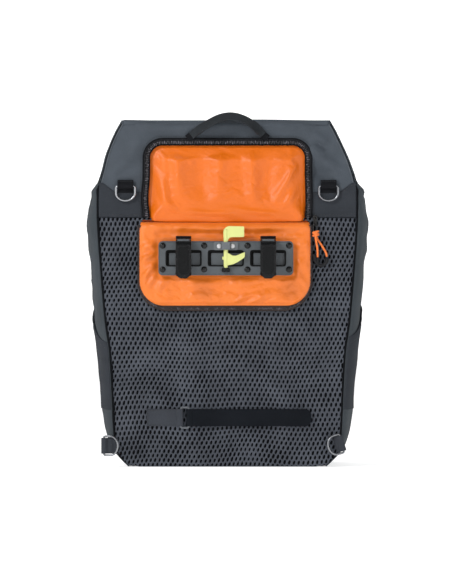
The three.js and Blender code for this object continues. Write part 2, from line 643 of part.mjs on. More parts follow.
// ---- Assembly -----------------------------------------------------------------------------------
add('back_pad', backPad(), MESH);
add('back_board', backBoard(), BOARD);
add('upper_back_panel', upperBackPanel(), COATED);
add('zip_frame', zipFrame(), ZIP);
add('hinge_band', hingeBand(), WOVEN);
add('pocket_lining', pocketLining(), ORANGE);
add('front_panel', frontPanel(), COATED);
add('base_panel', basePlate(113, 66, 32, 0, 2.6), COATED);
add('base_board', basePlate(109, 62, 30, 3, 5), BOARD);
SIDES.forEach(([label, side]) => {
  add(`${label}_corner_patch`, cornerPatch(side), WOVEN);
  add(`${label}_gusset`, gusset(side), COATED);
  add(`${label}_side_pocket`, sidePocket(side, side < 0 ? 146 : 158), WOVEN);
  upperRing(label, side);
  lowerRing(label, side, side < 0 ? LOWER_RING : LOWER_RING_RIGHT);
});

add('strap_anchor', strapAnchor(), WEBBING);
add('strap_sewn_layer', strapSewnLayer(), WEBBING);
add('strap_ring', strapRing(), BLACK_PLASTIC);
add('strap_free_end', strapFreeEnd(), WEBBING);
add('carry_handle', carryHandle(), WEBBING);

add('hook_panel_lining', panelLayer(-83, -81.3, 3.8), ORANGE);
add('hook_panel_board', panelLayer(-80.9, -79.1, 6), BOARD);
add('hook_panel_cover', panelLayer(-78.7, -77.2, 3.8), COATED);
add('hook_panel_piping', panelPiping(), WOVEN);
add('hook_plate', hookPlate(), GREY_PLASTIC);
SIDES.forEach(([label, side]) => add(`${label}_hook`, hook(side), BLACK_PLASTIC));
screwSpots().forEach(([x, z], i) =>
  add(`plate_screw_${i + 1}`, screw(x, z, PLATE_FRONT, SCREW.head, 5), BLACK_PLASTIC));
add('latch_bracket', latchBracket(), GREY_PLASTIC);
LATCH_SCREWS.forEach(([x, z], i) =>
  add(`latch_screw_${i + 1}`, screw(x, z, PLATE_FRONT - 2, 2.8, 7), STEEL));
add('latch_lever', latchLever(), LIME);

add('zip_slider', zipSlider(), BLACK_PLASTIC);
add('slider_pull', sliderPull(), BLACK_PLASTIC);
add('pull_cord', pullCord(), CORD);
add('pull_grip', pullGrip(), BLACK_PLASTIC);

add('lid', lid(), COATED);
add('lid_closure_patch', closurePatch(80.9, 81.9), WOVEN);
add('front_closure_patch', closurePatch(79.4, 80.4), WOVEN);

export default bag;
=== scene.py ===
"""Bicycle pannier bag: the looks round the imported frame. Lengths are millimetres in the bag's own
frame, turned into metres where a mesh is made. The rack side faces -Y and +Z is up."""
import math

import bmesh
import bpy
import numpy as np
from mathutils import Matrix, Vector


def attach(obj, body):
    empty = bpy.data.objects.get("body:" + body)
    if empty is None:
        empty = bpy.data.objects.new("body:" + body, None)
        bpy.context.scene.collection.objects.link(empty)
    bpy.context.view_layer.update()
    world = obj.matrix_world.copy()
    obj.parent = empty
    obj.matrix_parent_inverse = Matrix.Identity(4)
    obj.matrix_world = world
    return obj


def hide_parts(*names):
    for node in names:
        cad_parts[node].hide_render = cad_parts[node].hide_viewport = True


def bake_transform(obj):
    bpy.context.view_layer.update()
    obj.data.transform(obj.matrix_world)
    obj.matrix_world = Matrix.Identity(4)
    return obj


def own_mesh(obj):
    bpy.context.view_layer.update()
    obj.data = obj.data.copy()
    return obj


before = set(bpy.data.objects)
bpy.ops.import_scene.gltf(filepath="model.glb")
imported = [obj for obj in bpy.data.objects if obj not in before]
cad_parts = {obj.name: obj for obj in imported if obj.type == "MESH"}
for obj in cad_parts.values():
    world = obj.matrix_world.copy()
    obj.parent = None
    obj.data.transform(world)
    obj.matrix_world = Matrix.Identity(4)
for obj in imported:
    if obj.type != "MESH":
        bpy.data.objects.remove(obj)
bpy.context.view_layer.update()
SIDES = (("left", -1), ("right", 1))
TAU = 2 * math.pi


# ---- Driving dimensions ----
HEIGHT, FRONT_HEIGHT = 413, 362
BACK_Y, FRONT_Y, PAD_TOP = -75, 68, 299
BACK_EDGE = [[0, 117], [6, 123.5], [14, 130.5], [20, 133.5], [38, 135.6], [53, 136.5], [83, 137.6],
             [113, 139], [142, 141], [163, 144.5], [183, 147], [213, 149.6], [233, 151.2], [263, 153.5],
             [296, 155.4], [318, 156], [333, 155.5], [344, 152.8], [356, 149.4], [368, 146], [380, 141.6],
             [392, 136.4], [404, 130.6], [413, 125.4]]
SILHOUETTE = [[0, 118], [7, 126], [15, 134.5], [21, 140.5], [32, 145], [44, 148.2], [56, 150], [68, 151.8],
              [92, 153], [116, 155], [140, 156.8], [164, 160.2], [188, 161.4], [212, 163.8], [236, 165],
              [248, 166], [260, 167.7], [272, 169.2], [284, 170.6], [296, 170.8], [308, 168.8], [320, 166.4],
              [331, 163.6], [338, 159.5], [344, 156], [356, 151.8], [368, 148.2], [380, 143.8], [392, 138.6],
              [404, 132.8], [413, 127.6]]
OPENING_HALF, OPENING_TOP, OPENING_R, OPENING_FOOT = 93, 386, 15, 299.5
ZIP_BAND = 9
PANEL_X, PANEL_HALF, PANEL_TOP, PANEL_BOTTOM, PANEL_R, PANEL_Y = -3, 105, 291, 187, 36, -80
PLATE_X, PLATE_Z, PLATE_W, PLATE_H, PLATE_FRONT = -2, 250.4, 161.3, 41, -91
WINDOW_W, WINDOW_H, WINDOW_PITCH = 43, 19.5, 50.5
SCREW_ROWS, SCREW_COLUMNS = (15.1, -13.4), (25.9, 75.6)
BRACKET_HALF, BRACKET_Z = 8, 264.8
HOOK_X, HOOK_W, THROAT = 50.5, 18.5, 16.5
STEM_Y, STEM_R = -95.6, 2.6
RING_HALF, RING_SIDE, RING_BOW, RING_WIRE = 11.4, 8, 9.2, 1.4
STRAP_Z, STRAP_W = 59.4, 20.6
LOOP_LEFT, LOOP_RIGHT, LOOP_HALF, LOOP_WIRE = -55.9, -46.5, 12.2, 1.3
CELL_X, CELL_Z = 5.4, 5.7


# ---- Small maths ----
RIPPLE_WAVES = 9


def smoothstep(x, a, b):
    t = np.clip((np.asarray(x, float) - a) / (b - a), 0, 1)
    return t * t * (3 - 2 * t)


def hill(x, a, b, c, d):
    """Rises from 0 to 1 between a and b and falls back between c and d."""
    return smoothstep(x, a, b) * (1 - smoothstep(x, c, d))


def profile(stops):
    """Half width by height: straight between the stops, softened below the kink of the sides."""
    zs, ws = np.array(stops, float).T
    fine = np.arange(-40, 460, 1.0)
    raw = np.interp(fine, zs, ws)
    kernel = np.exp(-0.5 * (np.arange(-15, 16) / 3) ** 2)
    smooth = np.convolve(np.pad(raw, 15, mode="edge"), kernel / kernel.sum(), mode="valid")
    share = hill(fine, 8, 24, 321, 331)
    table = raw + (smooth - raw) * share
    return lambda z: np.interp(z, fine, table)


back_edge = profile(BACK_EDGE)
silhouette = profile(SILHOUETTE)


def sway(z):
    """The slack top leans a little to one side."""
    return -2.0 * smoothstep(z, 350, 395)


def ripple(a, b, size, seed):
    """Smooth repeatable noise of about unit height: sines in random directions."""
    rng = np.random.default_rng(seed)
    total = 0
    for _ in range(RIPPLE_WAVES):
        turn, phase, stretch = rng.uniform(0, TAU), rng.uniform(0, TAU), rng.uniform(0.7, 1.8)
        total = total + np.sin((a * math.cos(turn) + b * math.sin(turn)) * TAU * stretch / size + phase)
    return total / math.sqrt(RIPPLE_WAVES)


def crease(a, b, angle, pitch, seed):
    """Folds running along angle (degrees): rounded ridges with narrower valleys."""
    turn = math.radians(angle)
    across = -a * math.sin(turn) + b * math.cos(turn)
    across = across + 0.3 * pitch * ripple(a, b, pitch * 4, seed)
    return 1 - 2 * np.abs(np.sin(across * math.pi / pitch)) ** 0.8


def ridges(x, z, folds):
    """Height of single folds, each (x0, z0, x1, z1, width, height): a soft ridge fading at its ends."""
    total = 0
    for x0, z0, x1, z1, width, height in folds:
        dx, dz = x1 - x0, z1 - z0
        length = math.hypot(dx, dz)
        along = ((x - x0) * dx + (z - z0) * dz) / length ** 2
        across = ((x - x0) * dz - (z - z0) * dx) / length
        across = across + 0.12 * length * (np.clip(along, 0, 1) - 0.5) ** 2
        fade = hill(along, -0.15, 0.35, 0.65, 1.15)
        total = total + height * fade * np.exp(-(across / width) ** 2)
    return total


def arc(cx, cz, r, a0, a1, n):
    t = np.radians(np.linspace(a0, a1, n))
    return np.stack([cx + r * np.cos(t), cz + r * np.sin(t)], 1)


def round_rect(x0, z0, x1, z1, r):
    return np.vstack([arc(x1 - r, z0 + r, r, -90, 0, 6), arc(x1 - r, z1 - r, r, 0, 90, 6),
                      arc(x0 + r, z1 - r, r, 90, 180, 6), arc(x0 + r, z0 + r, r, 180, 270, 6)])


def centred_rect(x, z, w, h, r):
    """A rounded rectangle about a middle point."""
    return round_rect(x - w / 2, z - h / 2, x + w / 2, z + h / 2, r)


def resample(path, step=None, count=None, closed=False):
    path = np.asarray(path, float)
    if closed:
        path = np.vstack([path, path[:1]])
    lengths = np.concatenate([[0], np.cumsum(np.linalg.norm(np.diff(path, axis=0), axis=1))])
    n = count or max(2, int(round(lengths[-1] / step)) + 1)
    at = np.linspace(0, lengths[-1], n, endpoint=not closed)
    return np.stack([np.interp(at, lengths, path[:, k]) for k in range(path.shape[1])], 1)


def catmull(points, per):
    """Catmull-Rom curve through a list of points."""
    p = np.asarray(points, float)
    p = np.vstack([2 * p[0] - p[1], p, 2 * p[-1] - p[-2]])
    out = []
    for i in range(1, len(p) - 2):
        for t in np.linspace(0, 1, per, endpoint=False):
            a, b, c, d = p[i - 1], p[i], p[i + 1], p[i + 2]
            out.append(0.5 * (2 * b + (c - a) * t + (2 * a - 5 * b + 4 * c - d) * t * t
                              + (3 * b - a - 3 * c + d) * t ** 3))
    return np.array(out + [p[-2]])


def tangents(path, closed=False):
    if closed:
        d = np.roll(path, -1, 0) - np.roll(path, 1, 0)
    else:
        d = np.gradient(path, axis=0)
    return d / np.maximum(np.linalg.norm(d, axis=1, keepdims=True), 1e-9)


def unit(v):
    v = np.asarray(v, float)
    return v / np.maximum(np.linalg.norm(v, axis=-1, keepdims=True), 1e-9)


def xz(points, y):
    """Flat (x, z) points as 3D points at a depth y."""
    p = np.asarray(points, float)
    return np.stack([p[:, 0], np.full(len(p), float(y)) if np.isscalar(y) else y, p[:, 1]], 1)


def upright(x, y, z0, z1, n):
    """A vertical line of n points."""
    return np.column_stack([np.full(n, float(x)), np.full(n, float(y)), np.linspace(z0, z1, n)])


# ---- Making pieces ----
def linked(name, data):
    """A new object in the scene."""
    obj = bpy.data.objects.new(name, data)
    bpy.context.scene.collection.objects.link(obj)
    return obj


def piece(name, verts, faces, body, slot, material, replaces=(), smooth=True):
    """A mesh from millimetre points, riding on a body (none where it is blended). material may be a list."""
    mesh = bpy.data.meshes.new(name)
    mesh.from_pydata((np.asarray(verts, float) * 0.001).tolist(), [], [list(map(int, f)) for f in faces])
    mesh.validate()
    obj = linked(name, mesh)
    for m in material if isinstance(material, (list, tuple)) else [material]:
        mesh.materials.append(m)
    if smooth:
        mesh.polygons.foreach_set("use_smooth", [True] * len(mesh.polygons))
    bm = bmesh.new()
    bm.from_mesh(mesh)
    bmesh.ops.recalc_face_normals(bm, faces=bm.faces)
    bm.to_mesh(mesh)
    bm.free()
    if body:
        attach(obj, body)
    if replaces:
        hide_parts(*replaces)
    return obj


def grid_faces(nu, nv, start=0):
    """Quads of a grid with nu + 1 columns of nv + 1 points."""
    i, j = np.meshgrid(np.arange(nu), np.arange(nv), indexing="ij")
    a = i * (nv + 1) + j
    b = a + nv + 1
    return (np.stack([a, b, b + 1, a + 1], -1).reshape(-1, 4) + start).tolist()


def unit_grid(nu, nv, u_from=0, v_from=0):
    """Two grids of nu + 1 by nv + 1 values that rise evenly to 1."""
    return np.meshgrid(np.linspace(u_from, 1, nu + 1), np.linspace(v_from, 1, nv + 1), indexing="ij")


def grid_normals(p):
    du, dv = np.gradient(p, axis=0), np.gradient(p, axis=1)
    return unit(np.cross(du, dv))


def add_subdivision(obj):
    """One more level of faces, applied."""
    smooth = obj.modifiers.new("smooth", "SUBSURF")
    smooth.levels = smooth.render_levels = 1
    done = bpy.data.meshes.new_from_object(obj.evaluated_get(bpy.context.evaluated_depsgraph_get()))
    obj.modifiers.clear()
    old = obj.data
    obj.data = done
    done.name = old.name
    bpy.data.meshes.remove(old)


def rim_faces(nu, nv):
    """Quads that join the borders of two equal grids, one stored after the other."""
    size = (nu + 1) * (nv + 1)
    index = np.arange(size).reshape(nu + 1, nv + 1)
    rim = np.concatenate([index[:, 0], index[-1, 1:], index[-2::-1, -1], index[0, -2:0:-1]])
    return [[a, b, b + size, a + size] for a, b in zip(rim, np.roll(rim, -1))]


def two_sided(nu, nv):
    """Faces of a closed sheet: a grid, the same grid behind it, and the rim between them."""
    back = grid_faces(nu, nv, (nu + 1) * (nv + 1))
    return grid_faces(nu, nv) + [f[::-1] for f in back] + rim_faces(nu, nv)


def shell(p, thick):
    """Closed sheet round a grid of points: front face, back face and a rim."""
    n = grid_normals(p)
    nu, nv = p.shape[0] - 1, p.shape[1] - 1
    verts = np.concatenate([(p + n * thick / 2).reshape(-1, 3), (p - n * thick / 2).reshape(-1, 3)])
    return verts, two_sided(nu, nv)


def cloth_sheet(name, p, thick, slot, material, replaces=(),
                body="bag", fine=False):
    """A cloth round a grid of points, made into a closed sheet and, if fine, subdivided once."""
    obj = piece(name, *shell(p, thick), body, slot, material, replaces)
    if fine:
        add_subdivision(obj)
    return obj


def band(a, b, n):
    """Quads between two closed rings of n points that start at a and b."""
    return [[a + k, a + (k + 1) % n, b + (k + 1) % n, b + k] for k in range(n)]


def sweep(path, section, across, closed=False, scale=None):
    """Carries a closed section (s, t) along a path; across gives the s direction."""
    path = np.asarray(path, float)
    t = tangents(path, closed)
    s = np.broadcast_to(np.asarray(across, float), path.shape)
    s = unit(s - t * np.sum(s * t, axis=1, keepdims=True))
    n = np.cross(t, s)
    section = np.asarray(section, float)
    size = np.ones((len(path), 2)) if scale is None else np.asarray(scale, float)
    if size.ndim == 1:
        size = np.stack([size, size], 1)
    verts = (path[:, None] + s[:, None] * (section[None, :, 0, None] * size[:, None, :1])
             + n[:, None] * (section[None, :, 1, None] * size[:, None, 1:]))
    rows, m = len(path), len(section)
    faces = []
    for i in range(rows if closed else rows - 1):
        faces += band(i * m, ((i + 1) % rows) * m, m)
    if not closed:
        faces += [list(range(m))[::-1], [(rows - 1) * m + k for k in range(m)]]
    return verts.reshape(-1, 3), faces


def circle(r, sides):
    a = np.arange(sides) * TAU / sides
    return np.stack([np.cos(a), np.sin(a)], 1) * r


def steady_across(path, closed):
    """A direction square to the path that turns as little as it can."""
    t = tangents(np.asarray(path, float), closed)
    start = np.array([0.0, 1.0, 0.0]) if abs(t[0][1]) < 0.9 else np.array([1.0, 0, 0])
    out = [unit(start - t[0] * start.dot(t[0]))]
    for k in range(1, len(t)):
        v = out[-1] - t[k] * out[-1].dot(t[k])
        out.append(unit(v))
    return np.array(out)


def tube(name, path, r, body, slot, material, sides=12, closed=False, scale=None, replaces=()):
    verts, faces = sweep(path, circle(r, sides), steady_across(path, closed), closed, scale)
    return piece(name, verts, faces, body, slot, material, replaces)


def piping(name, path, r, material, slot="coated_fabric"):
    """A thin sewn cord or fold on the bag; several are coloured darker as painted shade, and some lighter as
    painted highlight.
    """
    tube(name, path, r, "bag", slot, material, 8)


def ribbon_section(width, thick):
    """Flat band with round edges, as (s, t)."""
    half = width / 2
    s = np.linspace(-half + thick / 2, half - thick / 2, 9)
    top = np.stack([s, np.full(9, thick / 2)], 1)
    right = arc(half - thick / 2, 0, thick / 2, 60, -60, 4)
    return np.vstack([top, right, np.stack([s[::-1], np.full(9, -thick / 2)], 1),
                      arc(-half + thick / 2, 0, thick / 2, 240, 120, 4)])


def webbing(name, path, across, width, thick, body, material, slot="webbing", replaces=(), rib=1.5,
            depth=0.16, taper=None, step=0.5, spread=None):
    """Woven band with cross ribs in its surface."""
    path = np.asarray(path, float)
    both = np.hstack([path, np.broadcast_to(np.asarray(across, float), path.shape)])
    lengths = np.concatenate([[0], np.cumsum(np.linalg.norm(np.diff(path, axis=0), axis=1))])
    n = max(8, int(lengths[-1] / step))
    at = np.linspace(0, lengths[-1], n)
    both = np.stack([np.interp(at, lengths, both[:, k]) for k in range(6)], 1)
    scale = np.ones((n, 2))
    scale[:, 1] = 1 + depth * np.sin(at * TAU / rib)
    if taper is not None:
        scale[:, 0] = taper(lengths[-1] - at)
    section = ribbon_section(width, thick)
    if spread is not None:
        scale[:, 0] = spread(at)
        section = ribbon_section(20, thick) * [0.05, 1]
    verts, faces = sweep(both[:, :3], section, both[:, 3:], scale=scale)
    piece(name, verts, faces, body, slot, material, replaces)


def outline_solid(name, outline, y0, y1, body, slot, material, bevel=0.0, replaces=(), plane="xz",
                  segments=3):
    """An outline with depth and rounded edges. plane xz: depth runs along Y; plane yz: along X."""
    p = np.asarray(outline, float)
    n = len(p)
    if plane == "xz":
        a, b = xz(p, y0), xz(p, y1)
    else:
        a, b = np.column_stack([np.full(n, y0), p]), np.column_stack([np.full(n, y1), p])
    faces = [list(range(n)), list(range(2 * n - 1, n - 1, -1))]
    faces += band(0, n, n)
    obj = piece(name, np.vstack([a, b]), faces, body, slot, material, replaces, smooth=False)
    if bevel:
        soften(obj, bevel, segments)
    return obj


def soften(obj, width, segments):
    """Rounds the edges of a hard piece."""
    m = obj.modifiers.new("soft_edges", "BEVEL")
    m.width, m.segments, m.limit_method, m.angle_limit = width * 0.001, segments, "ANGLE", math.radians(35)
    m.harden_normals = False
    obj.data.polygons.foreach_set("use_smooth", [True] * len(obj.data.polygons))
    w = obj.modifiers.new("flat_faces", "WEIGHTED_NORMAL")
    w.keep_sharp = True
    return obj


def stitches(name, path, body, material, slot, normal=(0, -1, 0), pitch=3.6, length=2.5, r=0.28,
             closed=False):
    """A row of thread stitches along a path, each a small pulled-in capsule."""
    points = resample(path, pitch, closed=closed)
    t = tangents(points, closed)
    n = np.broadcast_to(np.asarray(normal, float), points.shape)
    side = unit(np.cross(t, n))
    up = unit(np.cross(side, t))
    ends = np.array([-1.0, -0.72, 0.0, 0.72, 1.0])
    girth = np.array([0.25, 0.85, 1.0, 0.85, 0.25])
    ring = circle(1, 6)
    verts, faces = [], []
    for p, tt, ss, uu in zip(points, t, side, up):
        base = len(verts)
        for e, g in zip(ends, girth):
            mid = p + tt * e * length / 2 + uu * (0.1 - 0.28 * (abs(e) > 0.9))
            for c in ring:
                verts.append(mid + (ss * c[0] + uu * c[1] * 0.75) * r * g)
        for k in range(4):
            faces += band(base + k * 6, base + k * 6 + 6, 6)
        faces += [[base + q for q in range(6)][::-1], [base + 24 + q for q in range(6)]]
    return piece(name, verts, faces, body, slot, material)


# ---- Materials ----
def srgb(r, g, b):
    return tuple(((c / 255 + 0.055) / 1.055) ** 2.4 if c > 10 else c / 255 / 12.92 for c in (r, g, b))


class Surface:
    """A Principled material with helpers for procedural colour and relief in object space."""

    def __init__(self, name, color, rough, spec=0.5, metallic=0.0, **sockets):
        color = srgb(*color)
        self.mat = bpy.data.materials.new(name)
        self.mat.use_nodes = True
        self.tree = self.mat.node_tree
        self.shader = next(n for n in self.tree.nodes if n.type == "BSDF_PRINCIPLED")
        self.color = color
        self.set("Base Color", (*color, 1))
        self.set("Roughness", rough)
        self.set("Specular IOR Level", spec)
        self.set("Metallic", metallic)
        for key, value in sockets.items():
            self.set(key.replace("_", " "), value)
        self.coords = self.node("ShaderNodeTexCoord").outputs["Object"]
        self.normal = None

    def node(self, kind, **values):
        n = self.tree.nodes.new(kind)
        for k, v in values.items():
            setattr(n, k, v)
        return n

    def link(self, a, b):
        self.tree.links.new(a, b)

    def set(self, socket, value):
        self.shader.inputs[socket].default_value = value

    def noise(self, size_mm, detail=3.0, stretch=(1, 1, 1)):
        m = self.node("ShaderNodeMapping")
        m.inputs["Scale"].default_value = stretch
        self.link(self.coords, m.inputs["Vector"])
        n = self.node("ShaderNodeTexNoise")
        n.inputs["Scale"].default_value = 1000 / size_mm
        n.inputs["Detail"].default_value = detail
        self.link(m.outputs["Vector"], n.inputs["Vector"])
        return n.outputs["Fac"]

    def bands(self, pitch_mm, axis):
        w = self.node("ShaderNodeTexWave", wave_type="BANDS", bands_direction=axis)
        w.inputs["Scale"].default_value = TAU / 20 / (pitch_mm * 0.001)
        self.link(self.coords, w.inputs["Vector"])
        return w.outputs["Fac"]

    def cells(self, size_mm):
        v = self.node("ShaderNodeTexVoronoi")
        v.inputs["Scale"].default_value = 1000 / size_mm
        self.link(self.coords, v.inputs["Vector"])
        return v.outputs["Distance"]

    def math(self, kind, a, b):
        m = self.node("ShaderNodeMath", operation=kind)
        for socket, value in zip(m.inputs, (a, b)):
            if isinstance(value, (int, float)):
                socket.default_value = value
            else:
                self.link(value, socket)
        return m.outputs[0]

    def weave(self, pitch_mm):
        """Plain weave seen from the front or the sides: crossing bands."""
        across = self.math("ADD", self.bands(pitch_mm, "X"), self.bands(pitch_mm, "Y"))
        return self.math("MULTIPLY", across, self.bands(pitch_mm, "Z"))

    def tint(self, factor, low, high, clamp=(0.3, 0.7)):
        """Base colour between two multiples of the colour, driven by factor."""
        ramp = self.node("ShaderNodeValToRGB")
        ramp.color_ramp.elements[0].position, ramp.color_ramp.elements[1].position = clamp
        ramp.color_ramp.elements[0].color = (*[min(1, c * low) for c in self.color], 1)
        ramp.color_ramp.elements[1].color = (*[min(1, c * high) for c in self.color], 1)
        self.link(factor, ramp.inputs["Fac"])
        self.link(ramp.outputs["Color"], self.shader.inputs["Base Color"])
        return self

    def rough(self, factor, low, high):
        r = self.node("ShaderNodeMapRange")
        r.inputs["To Min"].default_value, r.inputs["To Max"].default_value = low, high
        self.link(factor, r.inputs["Value"])
        self.link(r.outputs["Result"], self.shader.inputs["Roughness"])
        return self

    def relief(self, height, distance_mm):
        b = self.node("ShaderNodeBump")
        b.inputs["Strength"].default_value = 1
        b.inputs["Distance"].default_value = distance_mm * 0.001
        self.link(height, b.inputs["Height"])
        if self.normal is not None:
            self.link(self.normal, b.inputs["Normal"])
        self.normal = b.outputs["Normal"]
        self.link(self.normal, self.shader.inputs["Normal"])
        return self


def cloth_material(name, color, rough, weave_mm, relief_mm, spec=0.5, blotch=(0.88, 1.12), **sockets):
    s = Surface(name, color, rough, spec, **sockets)
    broad, fine = s.math("MULTIPLY", s.noise(38, 4), 0.75), s.math("MULTIPLY", s.noise(1.6, 2), 0.25)
    s.tint(s.math("ADD", broad, fine), *blotch)
    s.rough(s.noise(55, 3), rough - 0.05, rough + 0.06)
    s.relief(s.weave(weave_mm), relief_mm)
    s.relief(s.noise(9, 3), 0.12)
    return s.mat


def plastic_material(name, color, rough, spec=0.5, grain_mm=0.7, relief_mm=0.03, spread=0.06, metallic=0.0):
    s = Surface(name, color, rough, spec, metallic)
    s.tint(s.noise(14, 4), 1 - spread, 1 + spread)
    s.rough(s.noise(6, 3), rough - 0.05, rough + 0.07)
    s.relief(s.cells(grain_mm), relief_mm)
    return s.mat


def steel_material(name, grey):
    s = Surface(name, (grey, grey + 2, grey + 6), 0.28, metallic=1.0)
    s.tint(s.noise(5, 4), 0.88, 1.06)
    s.rough(s.noise(1.5, 4, (1, 1, 6)), 0.18, 0.34)
    s.relief(s.noise(0.8, 3, (1, 1, 8)), 0.02)
    return s.mat


def hook_material():
    """Glossy black plastic with fine paler specks in a rough grip face."""
    s = Surface("hook_grip", (10, 11, 13), 0.34, 0.16)
    s.tint(s.cells(1.15), 1.7, 0.7, (0.05, 0.3))
    s.relief(s.cells(1.15), 0.22)
    return s.mat


def glinting_teeth():
    """Zip teeth with glints painted into their colour, brighter and darker unevenly along the row."""
    s = Surface("zip_teeth", (64, 61, 66), 0.24)
    # Painted glints: the colour swings from a quarter to more than twice its own value in patches.
    s.tint(s.noise(4.5, 2), 0.25, 2.2, (0.42, 0.66))
    s.relief(s.cells(0.7), 0.03)
    return s.mat


# Each cloth: colour, roughness, pitch and depth of its weave, gloss, and how much its colour varies.
COATED = cloth_material("coated_fabric", (67, 73, 80), 0.6, 0.9, 0.05, 0.14, (0.84, 1.16))
# The coated fabric again for the side walls, darker and less glossy: the darker colour is painted shade.
COATED_SIDE_SHADE = cloth_material("coated_fabric_side", (61, 66, 70), 0.75, 0.9, 0.05, 0.05, (0.84, 1.16))
# The coated fabric again, lighter, for thin seam cords: the lighter colour is painted highlight on the seam
# ridges.
LIT_PIPING = cloth_material("piping_painted_highlight", (78, 83, 89), 0.55, 0.9, 0.04, 0.2)
WOVEN = cloth_material("woven_fabric", (51, 54, 59), 0.9, 1.5, 0.14, 0.06)
ORANGE = cloth_material("orange_lining", (219, 104, 10), 0.36, 0.8, 0.04, 0.42, (0.94, 1.04))
# The orange lining again for the hook panel, paler: the paler colour is painted sheen, besides the shader's
# own sheen layer.
ORANGE_PANEL_SHEEN = cloth_material("orange_panel_painted_sheen", (223, 112, 24), 0.36, 0.8, 0.04, 0.5, (0.95, 1.05),
                              Sheen_Weight=0.12, Sheen_Roughness=0.4)
BINDING = cloth_material("binding", (50, 42, 40), 0.8, 1.1, 0.1, 0.15)
# Foam behind the mesh, near black: its own dark colour with painted shade in the mesh holes.
FOAM_AND_SHADE = cloth_material("pad_foam_and_painted_shade", (19, 20, 23), 0.95, 1.2, 0.1, 0.1)
YARN = cloth_material("mesh_yarn", (73, 77, 85), 0.68, 0.6, 0.06, 0.2, (0.72, 1.28))
WEB = cloth_material("webbing", (41, 44, 47), 0.8, 0.8, 0.08, 0.12, (0.85, 1.15))
WEB_GREY = cloth_material("webbing_grey", (56, 59, 65), 0.85, 0.8, 0.1, 0.12, (0.85, 1.15))
# Near-black webbing for the upper ring tabs, and as painted shade on the handle's feet.
BLACK_WEB_AND_SHADE = cloth_material("webbing_black_and_painted_shade", (23, 24, 27), 0.85, 0.8, 0.1, 0.08, (0.85, 1.15))
PILE = cloth_material("hook_and_loop", (21, 24, 29), 0.95, 0.5, 0.1, 0.1, (0.8, 1.2))
TAPE = cloth_material("zip_tape", (31, 31, 34), 0.75, 0.7, 0.1, 0.15, (0.6, 1.4))
# Near-black cloth for thin lines in seams and folds: painted shade where they sink in.
SEAM_SHADE = cloth_material("seam_painted_shade", (19, 20, 23), 0.9, 0.7, 0.1, 0.06)
# Dark orange-brown cloth: painted shade in the crease between the pocket lining and the hook panel.
CREASE_SHADE = cloth_material("crease_painted_shade", (118, 48, 16), 0.9, 0.5, 0.05, 0.05)
THREAD = cloth_material("thread", (74, 78, 84), 0.7, 0.3, 0.03)
THREAD_DARK = cloth_material("thread_dark", (34, 36, 40), 0.7, 0.3, 0.03)
THREAD_ORANGE = cloth_material("thread_orange", (214, 98, 22), 0.6, 0.3, 0.03)
CORD = cloth_material("orange_cord", (236, 122, 52), 0.7, 0.6, 0.12)
# Each plastic or paint: colour, roughness, gloss, then the pitch and depth of its grain.
GREY_PLASTIC = plastic_material("grey_plastic", (76, 81, 85), 0.45, 0.4)
BLACK_PLASTIC = plastic_material("black_plastic", (9, 10, 12), 0.27, 0.2)
# Near-black plastic for the insides of the plate's windows: painted shade.
SHADE_BLACK = plastic_material("painted_shade_black", (8, 9, 10), 0.5, 0.12)
RUBBER = plastic_material("rubber", (20, 21, 24), 0.45, 0.2, 0.5, 0.04)
LIME = plastic_material("lime_plastic", (206, 211, 134), 0.4, 0.35, 1.2, 0.01, 0.03)
BLACK_METAL = plastic_material("black_metal", (8, 8, 9), 0.14, 0.35, 0.9, 0.002)
BRACKET = plastic_material("bracket", (93, 97, 101), 0.4, 0.4)
# Mid grey for the strap's black plastic loop: the grey is painted highlight on its bars.
LOOP_GREY_HIGHLIGHT = plastic_material("loop_plastic_painted_highlight", (88, 92, 97), 0.35)
BOARD = plastic_material("board", (38, 40, 44), 0.6)
DOME = plastic_material("bright_dome", (196, 197, 199), 0.4, 0.5, 2.0, 0.004, metallic=0.35)
HOOK_GRIP = hook_material()
# The same steel in two brightnesses: the brighter copy on the upper left ring, nearest the key light, and the
# darker copy on the other rings; the difference is painted light and shade.
STEEL, STEEL_SHADED = steel_material("steel", 160), steel_material("steel_painted_shade", 132)
TEETH = glinting_teeth()

# Body, slot and material of the pieces that are made in several parts.
LEVER = ("latch_lever", "lime_plastic", LIME)
SLIDER = ("zip_slider", "black_metal", BLACK_METAL)
PLATE = ("hook_panel", "grey_plastic", GREY_PLASTIC)
PULL_RUBBER = ("zip_pull", "rubber", RUBBER)


def use(node, material):
    """Gives a carried-over CAD node its finished material."""
    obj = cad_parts[node]
    obj.data.materials.clear()
    obj.data.materials.append(material)
    return obj


# ---- Stage, light and camera ----
PAPER_GLOW = 0.66
VIEW_H, VIEW_X, VIEW_Z = 0.7008, -0.0018, 0.210
CAMERA_AWAY = 4.5


def make_stage():
    """Round pale paper floor, curving up far outside any camera."""
    r = np.concatenate([[0.001, 0.25, 0.5, 1, 2, 4, 6], 8 + 0.8 * np.sin(np.radians(np.arange(0, 91, 15)))])
    z = np.concatenate([np.zeros(7), 0.8 - 0.8 * np.cos(np.radians(np.arange(0, 91, 15)))])
    r, z = np.append(r, 8.8), np.append(z, 3.0)
    a = np.arange(96) * TAU / 96
    r, z = r[:, None], np.repeat(z[:, None] - 0.0003, 96, 1)
    verts = np.stack([r * np.cos(a), r * np.sin(a), z], -1)
    faces = sum((band(i * 96, i * 96 + 96, 96) for i in range(len(r) - 1)), [])
    mesh = bpy.data.meshes.new("paper")
    mesh.from_pydata(verts.reshape(-1, 3).tolist(), [], faces + [list(range(96))[::-1]])
    mesh.polygons.foreach_set("use_smooth", [True] * len(mesh.polygons))
    obj = linked("paper", mesh)
    s = Surface("paper", (238, 238, 238), 0.9, 0, Emission_Color=(1, 1, 1, 1), Emission_Strength=PAPER_GLOW)
    mesh.materials.append(s.mat)


